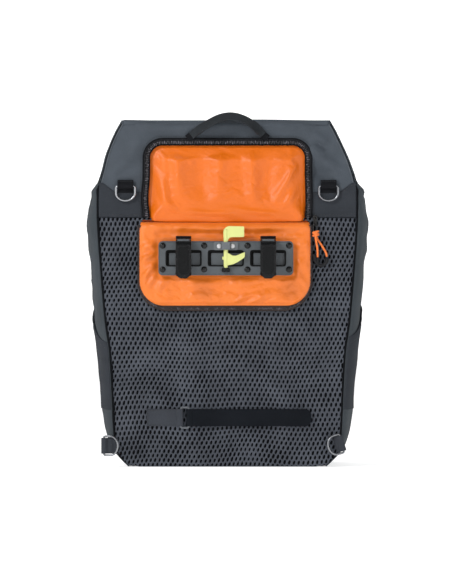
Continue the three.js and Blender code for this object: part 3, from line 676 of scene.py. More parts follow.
def area_light(name, place, aim, size, power):
    data = bpy.data.lights.new(name, "AREA")
    data.shape, data.size, data.energy = "DISK", size, power
    obj = linked(name, data)
    obj.location = place
    obj.rotation_euler = (Vector(aim) - Vector(place)).to_track_quat("-Z", "Y").to_euler()


def make_camera():
    data = bpy.data.cameras.new("camera")
    data.sensor_fit, data.sensor_height = "VERTICAL", 24
    data.lens = 24 * CAMERA_AWAY / VIEW_H
    obj = linked("camera", data)
    obj.location = (VIEW_X, BACK_Y * 0.001 - CAMERA_AWAY, VIEW_Z)
    obj.rotation_euler = (math.pi / 2, 0, 0)
    bpy.context.scene.camera = obj


def make_light():
    world = bpy.data.worlds.new("studio")
    world.use_nodes = True
    world.node_tree.nodes["Background"].inputs["Color"].default_value = (1, 1, 1, 1)
    world.node_tree.nodes["Background"].inputs["Strength"].default_value = 0.28
    bpy.context.scene.world = world
    bpy.context.scene.view_settings.view_transform = "Standard"
    area_light("key", (-1.8, -2.15, 1.95), (0, 0, 0.22), 0.8, 52)
    area_light("fill", (2.0, -2.4, 0.9), (0, 0, 0.2), 1.8, 6)
    area_light("top", (0.2, 0.2, 2.6), (0, 0, 0.3), 1.6, 12)


make_stage()
make_camera()
make_light()

# ---- Pull cord: the route that the frame's cord follows ----
CORD_ROUTE = [[108, -81.5, 251.6], [107.6, -83, 262], [105.7, -85, 273], [105, -85.2, 279.6],
              [105.1, -82.8, 281.4], [105.6, -80.2, 280], [107.8, -79.7, 273.5], [113.4, -80, 265],
              [118, -80.4, 257], [119, -81, 252.3]]
GRIP_Y = -81.2
GRIP_BOW = [[104.3, 255.4], [104.6, 248.6], [108.2, 243], [113.8, 241.9], [118.2, 245.4], [119, 251.4]]
KNOT = (105.6, -82.9, 281.6)
SLIDER_X, SLIDER_Z = 105.1, 295.5


def make_cord():
    path = catmull(CORD_ROUTE, 10)
    curve = bpy.data.curves.new("pull_cord_line", "CURVE")
    curve.dimensions, curve.bevel_depth, curve.bevel_resolution = "3D", 0.00125, 4
    spline = curve.splines.new("POLY")
    spline.points.add(len(path) - 1)
    for point, co in zip(spline.points, path * 0.001):
        point.co = (*co, 1)
    spline.use_smooth = True
    curve.use_fill_caps = True
    curve.materials.append(CORD)
    obj = linked("pull_cord_line", curve)
    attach(obj, "zip_pull")
    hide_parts("pull_cord")

    grip_line = catmull(xz(GRIP_BOW, GRIP_Y), 8)
    s = np.linspace(0, 1, len(grip_line))
    girth = 1 - 0.25 * (1 - smoothstep(s, 0, 0.06)) - 0.12 * hill(s, 0.1, 0.25, 0.75, 0.9)
    grip = tube("pull_grip_bow", grip_line, 2.3, *PULL_RUBBER, 16, scale=girth, replaces=["pull_grip"])
    socket = tube("pull_grip_socket", upright(108, GRIP_Y, 243, 251.6, 8), 1.9, *PULL_RUBBER, 16)
    for k, (dz, tilt) in enumerate(((0.3, 0.8), (-1.6, -0.6), (-3.5, 0.6))):
        a = np.arange(20) * TAU / 20
        turn = np.stack([3.0 * np.cos(a), 2.8 * np.sin(a), dz + tilt * np.cos(a)], 1)
        tube(f"cord_knot_{k + 1}", KNOT + turn, 1.3, "zip_pull", "orange_cord", CORD, 10, True)


make_cord()


# ---- Air-mesh back pad ----
PAD_INSET, PAD_BOTTOM = 0.9, 0.9


def pad_half(z):
    """Half width of the mesh at a height."""
    return back_edge(z) - PAD_INSET


def pad_y(x, z):
    """Outer surface of the pad: rolls back at its seams and waves a little."""
    edge = np.minimum(pad_half(z) - np.abs(x), np.minimum(z - PAD_BOTTOM, PAD_TOP - z + 2))
    roll = 1.5 * (1 - smoothstep(edge, -1, 9)) ** 1.4
    wave = 0.5 * ripple(x, z, 120, 3) + 0.22 * ripple(x, z, 45, 4)
    return BACK_Y + 0.3 + roll - wave * smoothstep(edge, 0, 30) * 0.55


def air_mesh():
    """Knitted spacer mesh: round yarns between staggered oval holes."""
    rows = int((PAD_TOP - PAD_BOTTOM) / CELL_Z) + 2
    columns = int(2 * 155 / CELL_X) + 2
    r, c = np.meshgrid(np.arange(rows), np.arange(columns), indexing="ij")
    cx = (c - columns / 2 + 0.5 * (r % 2)) * CELL_X
    cz = PAD_BOTTOM + r * CELL_Z
    cx, cz = cx.ravel(), cz.ravel()
    keep = (np.abs(cx) < pad_half(cz) + 1.5) & (cz < PAD_TOP + 1)
    cx, cz = cx[keep], cz[keep]
    hexagon = np.array([[0, 2 / 3], [0.5, 1 / 3], [0.5, 0], [0.5, -1 / 3], [0, -2 / 3], [-0.5, -1 / 3],
                        [-0.5, 0], [-0.5, 1 / 3]]) * [CELL_X, CELL_Z]
    angle = np.arctan2(hexagon[:, 1], hexagon[:, 0])
    oval = np.stack([1.48 * np.cos(angle) + 0.4 * np.sin(angle), 2.95 * np.sin(angle)], 1)
    rng = np.random.default_rng(5)
    size = 0.96 - 0.07 * hill(cz, 40, 110, 190, 260) + 0.08 * ripple(cx, cz, 60, 6)
    size = size + rng.uniform(-0.07, 0.07, len(cx))
    rings = [(hexagon, -0.55, 0), (hexagon * 0.5 + oval * 0.52, -0.3, 0.5), (oval, 0.6, 1),
             (oval * 0.9, 2.3, 1)]
    verts = []
    for ring, depth, share in rings:
        grow = 1 + (size[:, None] - 1) * share
        x = cx[:, None] + ring[None, :, 0] * grow
        z = cz[:, None] + ring[None, :, 1] * grow
        x, z = x + 1.3 * ripple(x, z, 150, 91), z + 1.9 * ripple(x, z, 170, 92)
        z = np.clip(z, PAD_BOTTOM, PAD_TOP)
        half = pad_half(z)
        x = np.clip(x, -half, half)
        verts.append(np.stack([x, pad_y(x, z) + depth, z], -1))
    verts = np.stack(verts, 1).reshape(-1, 3)
    sides = len(hexagon)
    first = np.arange(len(cx)) * sides * len(rings)
    faces = np.vstack([np.array(band(0, sides, sides)) + (first + k * sides)[:, None, None]
                       for k in range(len(rings) - 1)]).reshape(-1, 4)
    _, index, inverse = np.unique(np.round(verts, 2), axis=0, return_index=True, return_inverse=True)
    verts, faces = verts[index], inverse.ravel()[faces]
    good = [f for f in faces.tolist() if len(set(f)) == 4]
    piece("back_mesh", verts, good, "bag", "air_mesh", YARN)


def pad_foam_and_painted_shade():
    """Dark foam that shows through the holes of the mesh: its own dark colour, made near black as painted
    shade in the holes.
    """
    inset = 0.5
    u, v = unit_grid(72, 70, -1)
    z = PAD_BOTTOM + inset + (PAD_TOP - PAD_BOTTOM - 2 * inset) * v ** 1.4
    x = u * (pad_half(z) - inset)
    p = np.stack([x, pad_y(x, z) + 3.0, z], -1)
    foam = piece("back_foam", *shell(p, 2.2), "bag", "air_mesh", FOAM_AND_SHADE, ["back_pad"])


air_mesh()
pad_foam_and_painted_shade()
use("back_board", BOARD)
use("base_board", BOARD)


# ---- Side gussets and their pockets ----
def gusset_points(side, u, z, out=0.0):
    """Outer fabric of a side. u runs from the back seam to the front edge."""
    y = BACK_Y + 2.4 + (FRONT_Y - BACK_Y - 2.4) * u
    bulge = np.sin(math.pi * np.clip(u, 0.0005, 0.9995)) ** 0.42
    edge = back_edge(z) + 0.3
    x = edge + (silhouette(z) - edge) * bulge
    middle = np.sin(math.pi * np.clip(u, 0, 1)) ** 0.7
    soft = 1.6 * ripple(y, z, 95, 11 + side) + 0.7 * ripple(y, z, 38, 14 + side)
    fold = 1.3 * crease(y, z, 24 * side, 30, 21 + side) * hill(z, 190, 240, 330, 360)
    knob = 2.6 * np.exp(-((z - 332) / 5) ** 2) - 1.6 * np.exp(-((z - 342) / 4) ** 2)
    x = x + out + (soft * 0.4 + fold * 0.5) * middle + knob * np.exp(-((u - 0.12) / 0.16) ** 2)
    return np.stack([side * x + sway(z), y, z], -1)


def gusset_grid(side):
    u, v = unit_grid(64, 110)
    u = u ** 1.2
    top = HEIGHT + (FRONT_HEIGHT - HEIGHT) * u
    return gusset_points(side, u, 0.8 + (top - 0.8) * v ** 1.15)


def pocket_grid(side):
    u, v = unit_grid(56, 36)
    u = 0.97 * u ** 1.4
    top = (149 + 60 * u if side < 0 else 156 + 52 * u) + 0.8 * np.sin(u * 9)
    z = 69 + (top - 69) * v
    gape = 0.9 + 1.6 * smoothstep(v, 0.6, 1) * np.sin(math.pi * u)
    return gusset_points(side, u, z, gape)


def seam_line(side, z, out, y):
    """A line up the back edge of one side, a little outside or inside it, at depth y."""
    return xz(np.stack([side * (back_edge(z) + out) + sway(z), z], 1), y)


def make_sides():
    for label, side in SIDES:
        # The side walls use the darker copy of the coated fabric: painted shade.
        wall = cloth_sheet(f"{label}_side_fabric", gusset_grid(side), 1.4, "coated_fabric", COATED_SIDE_SHADE,
                           [f"{label}_gusset"])
        q = pocket_grid(side)
        cloth_sheet(f"{label}_slip_pocket", q, 1.3, "woven_fabric", WOVEN, [f"{label}_side_pocket"])
        piping(f"{label}_pocket_hem", resample(q[:, -1], 2.5), 1.2, WOVEN, "woven_fabric")
        stitches(f"{label}_pocket_stitches", q[:, -4] + [side * 0.8, 0, 0], "bag", THREAD_DARK,
                 "woven_fabric", (side, 0, 0))
        z = np.linspace(10, HEIGHT - 3, 150)
        z = z[z < PAD_TOP + 40]
        # The cord up the back seam is near black: painted shade in the sunken seam between mesh and side.
        piping(f"{label}_back_piping", seam_line(side, z, -0.1, BACK_Y + 1.3), 0.8, SEAM_SHADE)
        z = np.linspace(PAD_TOP, 352, 40)
        # Near-black tape over the gap at the corner: painted shade in the seam.
        piping(f"{label}_corner_tape", seam_line(side, z, 0.5, -71.4), 1.3, SEAM_SHADE)
        z = np.linspace(1.6, FRONT_HEIGHT, 130)
        front = np.stack([side * (back_edge(z) - 0.5), z], 1)
        piping(f"{label}_front_piping", xz(front, FRONT_Y + 1.6), 1.5, COATED)


make_sides()


# ---- Upper back panel, round the opening of the hook pocket ----
def opening_arch(grow, foot=OPENING_FOOT):
    """The opening's outline from its left foot over the top to its right foot, as (x, z)."""
    w, top, r = OPENING_HALF + grow, OPENING_TOP + grow, OPENING_R + max(grow, 0)
    zs = np.linspace(foot, top - r, 14)[:-1]
    bow = 2.2 * np.exp(-((zs - 322) / 17) ** 2)
    left = np.vstack([np.stack([-w - bow, zs], 1), arc(-w + r, top - r, r, 180, 90, 14)])
    right = np.vstack([arc(w - r, top - r, r, 90, 0, 14), np.stack([w + 0.3 * bow, zs], 1)[::-1]])
    return left, right


def crest_rise(x):
    """How far the slack crest of the bag rises and dips along its width."""
    return 0.9 + 0.9 * np.sin(x / 31 + 0.6) - 1.6 * np.exp(-((x + 52) / 22) ** 2)


PANEL_FOLDS = [(-142, 350, -112, 372, 5, 1.1), (-136, 345, -104, 352, 4, 0.6), (-116, 372, -104, 396, 5, 0.8),
               (96, 384, 118, 374, 5.5, 1.8), (102, 398, 122, 388, 6, 1.5), (98, 379, 138, 354, 7, 2.2),
               (98, 358, 126, 346, 8, -2.6), (105, 390, 121, 382, 3, -1.4), (118, 350, 142, 346, 5, 1.2),
               (60, 404, 104, 398, 4, 0.6), (-100, 404, -60, 402, 4, 0.5), (-40, 400, 40, 404, 5, -0.5)]


def panel_relief(x, z):
    """Soft wrinkles in the coated fabric: single folds beside the zip, over gentle slack."""
    lean = 4.6 * smoothstep(z, 394, 411) * (1 - smoothstep(np.abs(x), 92, 112))
    folds = 2.0 * ridges(x, z, PANEL_FOLDS)
    return 0.7 * ripple(x, z, 75, 33) + 0.22 * ripple(x, z, 26, 34) + folds + lean * 1.15


def upper_panel():
    n_side, n_top, nv = 60, 110, 30
    left, right = opening_arch(0.5)
    turn = len(left) - 7
    inner = np.vstack([resample(left[:turn + 1], count=n_side),
                       resample(np.vstack([left[turn:], right[:len(right) - turn]]), count=n_top)[1:-1],
                       resample(right[len(right) - turn - 1:], count=n_side)])
    tall = np.concatenate([np.linspace(PAD_TOP + 0.4, 333, 8), np.linspace(335, HEIGHT + 0.8, 30)])
    rise = resample(np.stack([back_edge(tall) - 0.2, tall], 1), count=n_side)
    side_left, side_right = rise * [-1, 1], rise[::-1]
    crest = resample(np.array([[-125.2, HEIGHT + 0.8], [125.2, HEIGHT + 0.8]]), count=n_top)[1:-1]
    outer = np.vstack([side_left, crest, side_right])
    v = np.linspace(0, 1, nv + 1)[None, :, None]
    flat = inner[:, None] + (outer - inner)[:, None] * v
    x, z = flat[..., 0], flat[..., 1]
    v = v[..., 0]
    near_zip = np.exp(-v * 9)
    along = np.arange(len(inner))[:, None]
    y = -72.3 - 0.8 * panel_relief(x, z) * hill(v, 0, 0.25, 0.9, 1)
    y = y - 0.3 * np.sin(along * 0.55) * near_zip
    y = y + 2.6 * (1 - np.cos(smoothstep(z, HEIGHT - 7, HEIGHT + 2) * math.pi / 2))
    z = z + crest_rise(x) * smoothstep(z, HEIGHT - 16, HEIGHT)
    x = x + sway(z) * smoothstep(v, 0.3, 1)
    p = np.stack([x, y, z], -1)
    cloth_sheet("upper_back_fabric", p, 1.3, "coated_fabric", COATED, ["upper_back_panel"])


upper_panel()


def corner_patches():
    for label, side in SIDES:
        u, v = unit_grid(30, 30)
        x = 103 + (154.4 - 103) * u
        top = 330 + 11.5 * smoothstep(x, 131, 153) ** 1.1
        z = PAD_TOP + 0.8 + (top - PAD_TOP - 0.8) * v
        y = -73.9 - 0.25 * ripple(x, z, 30, 41 + side)
        p = np.stack([side * x, y, z], -1)
        piece(f"{label}_corner_fabric", *shell(p, 1.0), "bag", "woven_fabric", WOVEN,
              [f"{label}_corner_patch"])
        for row, name in ((-3, "patch_stitches"), (3, "patch_foot_stitches")):
            stitches(f"{label}_{name}", p[1:-1, row] + [0, -0.5, 0], "bag", THREAD_DARK, "woven_fabric")


corner_patches()


def side_seams():
    """Fine seam close beside each slanted edge of the upper panel: a lighter cord as painted highlight, with
    a near-black cord beside it as painted shade.
    """
    for label, side in SIDES:
        z = np.linspace(338, HEIGHT - 1.5, 60)
        piping(f"{label}_slant_seam", seam_line(side, z, -2.6, -72.9), 0.7, LIT_PIPING)
        piping(f"{label}_slant_shade", seam_line(side, z, -0.9, -72.5), 0.7, SEAM_SHADE)


side_seams()


# ---- Zip round the opening ----
def arch_line(grow, step):
    left, right = opening_arch(grow, PAD_TOP + 0.8)
    return resample(np.vstack([left, right]), step)


def zip_round_opening():
    line = arch_line(ZIP_BAND / 2, 1.6)
    path = xz(line, -74.8)
    t = tangents(path)
    across = unit(np.cross(t, [0, 1, 0]))
    webbing("zip_tape_band", path, across, ZIP_BAND, 1.1, "bag", TAPE, "zip_tape", ["zip_frame"], rib=1.3,
            depth=0.08, step=1.0)
    teeth(arch_line(3.4, 2.1), -76.2, "zip_teeth_row", "bag", (1.7, 0.8, 0.8))
    # Near-black cords along the inner and outer folds of the zip band: painted shade in the folds.
    piping("zip_inner_fold", xz(arch_line(0.5, 2), -75.4), 0.8, SEAM_SHADE, "zip_tape")
    piping("zip_outer_fold", xz(arch_line(ZIP_BAND - 1.2, 2), -75.0), 0.7, SEAM_SHADE, "zip_tape")
    stitches("zip_outer_stitches", xz(arch_line(ZIP_BAND + 1.9, 2), -75.0), "bag", THREAD_DARK,
             "coated_fabric", pitch=3.0, length=2.2, r=0.22)
    wave = arch_line(6.4, 1.5)
    step = np.arange(len(wave))
    y = -75.3 - 0.35 * np.sin(step * 1.1) - 0.3 * np.sin(step * 0.37)
    piping("zip_tape_pleat", xz(wave, y), 0.9, TAPE, "zip_tape")


def teeth(line, y, name, body, size):
    """Coil teeth: small rounded blocks set square to the line, leaning in turn to each side."""
    t = tangents(xz(line, y))
    side = unit(np.cross(t, [0, 1, 0]))
    cube = np.array([[a, b, c] for a in (-1, 1) for b in (-1, 1) for c in (-1, 1)], float)
    quads = [[0, 1, 3, 2], [4, 6, 7, 5], [0, 4, 5, 1], [2, 3, 7, 6], [0, 2, 6, 4], [1, 5, 7, 3]]
    verts, faces = [], []
    for k, (p, tt, ss) in enumerate(zip(xz(line, y), t, side)):
        base = len(verts)
        shift = ss * (0.35 if k % 2 else -0.35)
        for c in cube:
            depth = np.array([0, c[1] * size[1], 0])
            verts.append(p + shift + ss * c[0] * size[0] + depth + tt * c[2] * size[2] * 0.7)
        faces += [[base + q for q in f] for f in quads]
    soften(piece(name, verts, faces, body, "zip_tape", TEETH), 0.25, 2)


zip_round_opening()


# ---- Wrinkles from a short cloth simulation ----
SETTLE_FRAMES, BLUR_REACH = 18, 13


def blurred(values, p, reach):
    """Values on grid p averaged over about the given reach in mm, along both directions."""
    for axis in (0, 1):
        pitch = float(np.linalg.norm(np.diff(p, axis=axis), axis=-1).mean())
        steps = np.arange(-int(2 * reach / pitch), int(2 * reach / pitch) + 1)
        weight = np.exp(-(steps * pitch / reach) ** 2)
        weight /= weight.sum()
        count = p.shape[axis]
        values = sum(w * np.take(values, np.clip(np.arange(count) + k, 0, count - 1), axis=axis)
                     for k, w in zip(steps, weight))
    return values


def wrinkled(p, held, slack, cap, seed, gain):
    """Front surface p (a grid, mm) after its free part is given slack and settles into wrinkles."""
    nu, nv = p.shape[0] - 1, p.shape[1] - 1
    rng = np.random.default_rng(seed)
    flat = p.reshape(-1, 3).copy()
    free = ~held.ravel()
    flat[free, 1] += rng.uniform(-0.12, 0.12, free.sum())
    mesh = bpy.data.meshes.new("settling_cloth")
    mesh.from_pydata((flat * 0.001).tolist(), [], grid_faces(nu, nv))
    obj = linked("settling_cloth", mesh)
    obj.shape_key_add(name="Basis")
    middle = flat.mean(0)
    wide = obj.shape_key_add(name="cut_size")
    for point, co in zip(wide.data, (middle + (flat - middle) * [1 + slack[0], 1, 1 + slack[1]]) * 0.001):
        point.co = co
    wide.value = 0.0
    group = obj.vertex_groups.new(name="sewn")
    group.add(np.nonzero(held.ravel())[0].tolist(), 1.0, "REPLACE")
    cloth = obj.modifiers.new("cloth", "CLOTH")
    c = cloth.settings
    c.quality, c.mass, c.air_damping = 5, 0.02, 1.0
    c.tension_stiffness = c.compression_stiffness = 20
    c.shear_stiffness, c.bending_stiffness = 6, 0.04
    c.tension_damping = c.compression_damping = 4
    c.bending_damping = 0.2
    c.vertex_group_mass = "sewn"
    c.rest_shape_key = wide
    c.use_pressure, c.uniform_pressure_force = True, -2
    c.effector_weights.gravity = 0
    cloth.collision_settings.use_collision = False
    cloth.point_cache.frame_start, cloth.point_cache.frame_end = 1, SETTLE_FRAMES
    for frame_number in range(1, SETTLE_FRAMES + 1):
        bpy.context.scene.frame_set(frame_number)
    settled = obj.evaluated_get(bpy.context.evaluated_depsgraph_get()).to_mesh()
    out = np.empty(len(flat) * 3)
    settled.vertices.foreach_get("co", out)
    move = out.reshape(-1, 3) * 1000 - p.reshape(-1, 3)
    bpy.data.objects.remove(obj, do_unlink=True)
    bpy.data.meshes.remove(mesh)
    bpy.context.scene.frame_set(1)
    move = gain * (move - blurred(move.reshape(p.shape), p, BLUR_REACH).reshape(-1, 3))
    size = np.linalg.norm(move, axis=1, keepdims=True) + 1e-9
    move = move * (cap * np.tanh(size / cap) / size)
    move[held.ravel()] = 0
    return p + move.reshape(p.shape)


# ---- Pocket lining seen through the opening ----
LINING_FOLDS = [(-62, 384, -56, 316, 8, 1.3), (-34, 386, -30, 318, 10, -1.6), (-8, 386, -12, 314, 8, 1.1),
                (14, 386, 14, 326, 7, -0.7), (30, 386, 30, 314, 7, 1.3), (52, 380, 44, 318, 9, -1.5),
                (86, 366, 52, 314, 5, 1.0), (88, 340, 62, 306, 4, 0.9), (-90, 360, -70, 312, 5, 0.9),
                (-88, 330, -60, 304, 4, 0.8), (-50, 306, 0, 303, 3, 0.6), (10, 308, 60, 303, 3, 0.6)]


def pocket_lining():
    nu, nv = 104, 62
    foot, top = 291.8, 390
    u, v = unit_grid(nu, nv, -1)
    z = foot + (top - foot) * v
    half = 97 - 4.5 * (1 - smoothstep(z, 294, 309))
    x = half * u
    edge = half - np.abs(x)
    reach = 4 + 20 * smoothstep(z, 296, 318)
    rise = smoothstep(edge / reach, 0.1, 1) * smoothstep(top - z, 2, 24)
    roll = 0.45 + 0.55 * np.sqrt(np.clip(1 - (1 - np.clip((z - foot) / 15, 0, 1)) ** 2, 0, 1))
    folds = 2.6 * ridges(x, z, LINING_FOLDS)
    y = -70.4 - rise * roll * (8.6 + 1.8 * np.exp(-((z - 312) / 22) ** 2) + folds * smoothstep(z, 292, 300))
    y = y + 0.5 * np.sin(x * 0.9 + 2 * np.sin(x * 0.13)) * np.exp(-np.minimum(edge, top - z) / 4)
    p = np.stack([x, y, z], -1)
    held = (edge < 3) | (top - z < 3) | (z - foot < 2.5)
    p = wrinkled(p, held, (0.06, 0.01), 1.8, 8, 1.3)
    obj = cloth_sheet("pocket_lining_cloth", p, 0.8, "orange_lining", ORANGE, ["pocket_lining"],
                      fine=True)
    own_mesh(obj)


pocket_lining()


def pocket_wall():
    """Inner wall of the hook pocket, deep enough for the hooks when the panel is closed."""
    nu, nv = 100, 60
    u, v = unit_grid(nu, nv, -1)
    half, foot, top = 100, 288.5, 394
    x, z = half * u, foot + (top - foot) * v
    edge = np.minimum(half - np.abs(x), np.minimum(z - foot, top - z))
    swell = np.sqrt(np.clip(1 - (1 - np.clip(edge / 4, 0, 1)) ** 2, 0, 1))
    y = -71.3 + 44 * swell + (0.8 * ripple(x, z, 60, 95) + 0.4 * ripple(x, z, 24, 96)) * swell
    p = np.stack([x, y, z], -1)
    cloth_sheet("pocket_wall_cloth", p, 0.8, "coated_fabric", COATED)


pocket_wall()


# ---- Fold-down hook panel ----
PAD_SIDE_INSET, PAD_FOOT_INSET, FOLD_TOP = 1.6, 6.2, 294.2
HOOK_PANEL_FOLDS = [(-84, 268, -107, 262, 4, 1.6), (-84, 258, -106, 247, 3.5, 1.5),
                    (-83, 246, -104, 226, 3.5, 1.7), (-80, 238, -98, 214, 3.5, 1.5),
                    (-70, 231, -86, 208, 4, 1.0), (-95, 238, -104, 206, 3, 0.9),
                    (-92, 280, -50, 277, 4, -0.9), (-60, 279, 60, 278.5, 5, -1.8),
                    (40, 279, 96, 281, 4, -0.9), (-100, 286, 98, 286, 4.5, 1.4), (83, 262, 101, 268, 4, 0.9),
                    (83, 246, 100, 238, 4, 0.8), (80, 234, 96, 216, 4, 0.7), (6, 196, 24, 207, 2.2, 0.9),
                    (16, 196, 34, 206, 2.2, -0.8), (28, 196, 46, 207, 2.4, 0.9),
                    (40, 196, 58, 205, 2.4, -0.7), (-60, 222, 50, 214, 9, 0.8), (-50, 206, 70, 203, 5, 0.5)]


def panel_half(z):
    """Half width of the padded part at a height, with its round lower corners."""
    r = PANEL_R - 5
    low = PANEL_BOTTOM + PAD_FOOT_INSET
    drop = np.clip(low + r - z, 0, r)
    return PANEL_HALF - PAD_SIDE_INSET - r + np.sqrt(np.maximum(r * r - drop * drop, 0))


def second_material(obj, chosen):
    """Gives the faces whose number passes the test the piece's second material."""
    obj.data.polygons.foreach_set("material_index", [int(chosen(f.index)) for f in obj.data.polygons])


def flatten_when_shut(obj):
    """Gives the piece a copy of its mesh of its own."""
    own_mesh(obj)


def hook_panel():
    nu, nv = 120, 72
    low = PANEL_BOTTOM + PAD_FOOT_INSET
    u, v = unit_grid(nu, nv, -1)
    z = low + (FOLD_TOP - low) * (0.75 * v + 0.25 * v * v)
    half = panel_half(z) - 2.2 * smoothstep(z, 284, FOLD_TOP)
    x = PANEL_X + half * u
    edge = np.minimum(half * (1 - np.abs(u)), z - low)
    rim = np.sqrt(np.clip(1 - (1 - np.clip(edge / 6, 0, 1)) ** 2, 0, 1))
    roll = np.sqrt(np.clip(1 - np.clip((z - 285) / (FOLD_TOP - 285), 0, 1) ** 2, 0, 1))
    beside, above = np.abs(x - PLATE_X) - PLATE_W / 2, np.abs(z - PLATE_Z) - PLATE_H / 2
    away = np.hypot(np.maximum(beside, 0), np.maximum(above, 0))
    slack = smoothstep(away, 0.5, 8) * smoothstep(edge, 0.5, 7)
    folds = ridges(x, z, HOOK_PANEL_FOLDS) + 0.35 * ripple(x, z, 46, 61) + 0.15 * ripple(x, z, 16, 62)
    pucker = 0.28 * np.sin(x * 1.1 + 2.2 * np.sin(x * 0.11)) * np.exp(-((z - low - 3) / 3) ** 2)
    front = PANEL_Y - 0.7 - rim * 2.2 - (1.7 + 2.3 * folds) * slack + pucker
    held = (edge < 3.5) | (away < 1.5) | (z > FOLD_TOP - 2)
    front = wrinkled(np.stack([x, front, z], -1), held, (0.03, 0.05), 2.0, 17, 1.9)[..., 1]
    front = front * roll + (BACK_Y - 1.2) * (1 - roll)
    back = np.maximum(PANEL_Y + 0.5 + rim * 2.0, front + 0.7)
    verts = np.vstack([np.stack([x, y, z], -1).reshape(-1, 3) for y in (front, back)])
    # The pad's face uses the paler orange: painted sheen.
    obj = piece("hook_panel_pad", verts, two_sided(nu, nv), "hook_panel", "orange_lining",
                [ORANGE_PANEL_SHEEN, COATED], ["hook_panel_lining", "hook_panel_cover", "hook_panel_board"])
    second_material(obj, lambda face: face >= nu * nv)
    add_subdivision(obj)
    flatten_when_shut(obj)


def panel_outline(inset, step):
    """The panel's edge from one hinge end round the foot to the other, as (x, z)."""
    x0, x1 = PANEL_X - PANEL_HALF + inset, PANEL_X + PANEL_HALF - inset
    z0, r = PANEL_BOTTOM + inset, PANEL_R - inset
    line = np.vstack([[[x0, PANEL_TOP - 1]], arc(x0 + r, z0 + r, r, 180, 270, 16),
                      arc(x1 - r, z0 + r, r, 270, 360, 16), [[x1, PANEL_TOP - 1]]])
    return resample(line, step)


def panel_edges():
    tube("panel_piping", xz(panel_outline(1.7, 2), PANEL_Y), 1.7, "hook_panel", "piping", BINDING, 10,
         replaces=["hook_panel_piping"])
    outer, inner = panel_outline(1.2, 2), panel_outline(9.5, 2)
    inner = resample(inner, count=len(outer))
    w = np.linspace(0, 1, 6)[None, :, None]
    flat = outer[:, None] + (inner - outer)[:, None] * w
    p = np.stack([flat[..., 0], np.full(flat.shape[:2], PANEL_Y - 0.9), flat[..., 1]], -1)
    piece("panel_zip_tape", *shell(p, 0.7), "hook_panel", "zip_tape", BINDING)
    teeth(panel_outline(3.0, 1.7), PANEL_Y - 1.5, "panel_zip_teeth", "hook_panel", (1.1, 0.6, 0.6))
    foot = resample(np.vstack([arc(PANEL_X - PANEL_HALF + 37, PANEL_BOTTOM + 41, 31.2, 200, 270, 14),
                               arc(PANEL_X + PANEL_HALF - 37, PANEL_BOTTOM + 41, 31.2, 270, 340, 14)]), 2)
    row = stitches("panel_edge_stitches", xz(foot, PANEL_Y - 3.7), "hook_panel", THREAD_ORANGE,
                   "orange_lining", pitch=3.2, length=2.1, r=0.2)
    flatten_when_shut(row)


hook_panel()
panel_edges()


def panel_fold():
    """Fabric that crosses the fold line: sewn to the pad's top seam, running down into the panel."""
    nu, nv = 90, 14
    x0, x1 = PANEL_X - PANEL_HALF + 4.5, PANEL_X + PANEL_HALF - 4.5
    u, v = unit_grid(nu, nv)
    x = x0 + (x1 - x0) * u
    z = 296.8 - 9 * v
    y = -73.0 - 5.0 * smoothstep(v, 0.2, 0.95) - 0.2 * ripple(x, z, 30, 71) * np.sin(math.pi * v)
    p = np.stack([x, y, z], -1)
    obj = piece("panel_fold_cloth", *shell(p, 0.9), None, "orange_lining", [ORANGE, COATED])
    second_material(obj, lambda face: not nu * nv <= face < 2 * nu * nv)
    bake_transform(obj)
    z = 284 + 11 * v
    p = np.stack([x, -75.6 + 2 * v - 0.12 * ripple(x, z, 20, 72), z], -1)
    piece("hinge_band_cloth", *shell(p, 1.0), "bag", "woven_fabric", COATED, ["hinge_band"])
    x = np.linspace(x0 + 1, x1 - 1, 90)
    seam = np.stack([x, 293.4 + 1.7 * (x / 100) ** 2 + 0.3 * np.sin(x / 9)], 1)
    # A dark cord along the crease where the lining meets the panel: painted shade in the crease.
    piping("fold_crease_shade", xz(seam, -77.6), 0.95, CREASE_SHADE, "orange_lining")


panel_fold()


# ---- Hook plate, hooks, latch and screws ----
def frame_ring(name, x, z, w, h, wall, y0, y1):
    """A dark rectangular frame: an outline with its middle open, painted shade on the inner walls of a
    window.
    """
    outer, inner = centred_rect(x, z, w + 2 * wall, h + 2 * wall, 2 + wall), centred_rect(x, z, w, h, 2)
    n = len(outer)
    verts = np.vstack([xz(outer, y0), xz(inner, y0), xz(inner, y1), xz(outer, y1)])
    faces = []
    for ring in range(4):
        faces += band(ring * n, ((ring + 1) % 4) * n, n)
    soften(piece(name, verts, faces, "hook_panel", "grey_plastic", SHADE_BLACK, smooth=False), 0.35, 2)


def plate():
    soften(use("hook_plate", GREY_PLASTIC), 0.5, 3)
    for k in (-1, 0, 1):
        x = PLATE_X + k * WINDOW_PITCH
        frame_ring(f"window_shade_{k + 2}", x, PLATE_Z, WINDOW_W - 3.2, WINDOW_H - 3.2, 1.9,
                   PLATE_FRONT - 0.15, PLATE_FRONT + 4)
        # A near-black plate behind each window floor: where it shows round the floor it is painted shadow.
        outline_solid(f"window_back_shade_{k + 2}", centred_rect(x, PLATE_Z, 41, 17.2, 1.5),
                      PLATE_FRONT + 3.9, PLATE_FRONT + 4.8, "hook_panel", "black_plastic", SHADE_BLACK, 0.3)
        # The floor sits low and to the right in its window, so the painted shadow round it is wider at the
        # top and left.
        floor = round_rect(x - 17.6, PLATE_Z - 8.5, x + 20.4, PLATE_Z + 6.4, 1.2)
        outline_solid(f"window_floor_{k + 2}", floor, PLATE_FRONT + 3.2, PLATE_FRONT + 4.2, *PLATE, 0.3)
    rim = resample(centred_rect(PLATE_X, PLATE_Z, PLATE_W - 2.2, PLATE_H - 2.2, 4.2), 2, closed=True)
    tube("plate_rim_bead", xz(rim, PLATE_FRONT + 0.1), 0.55, *PLATE, 8, True)


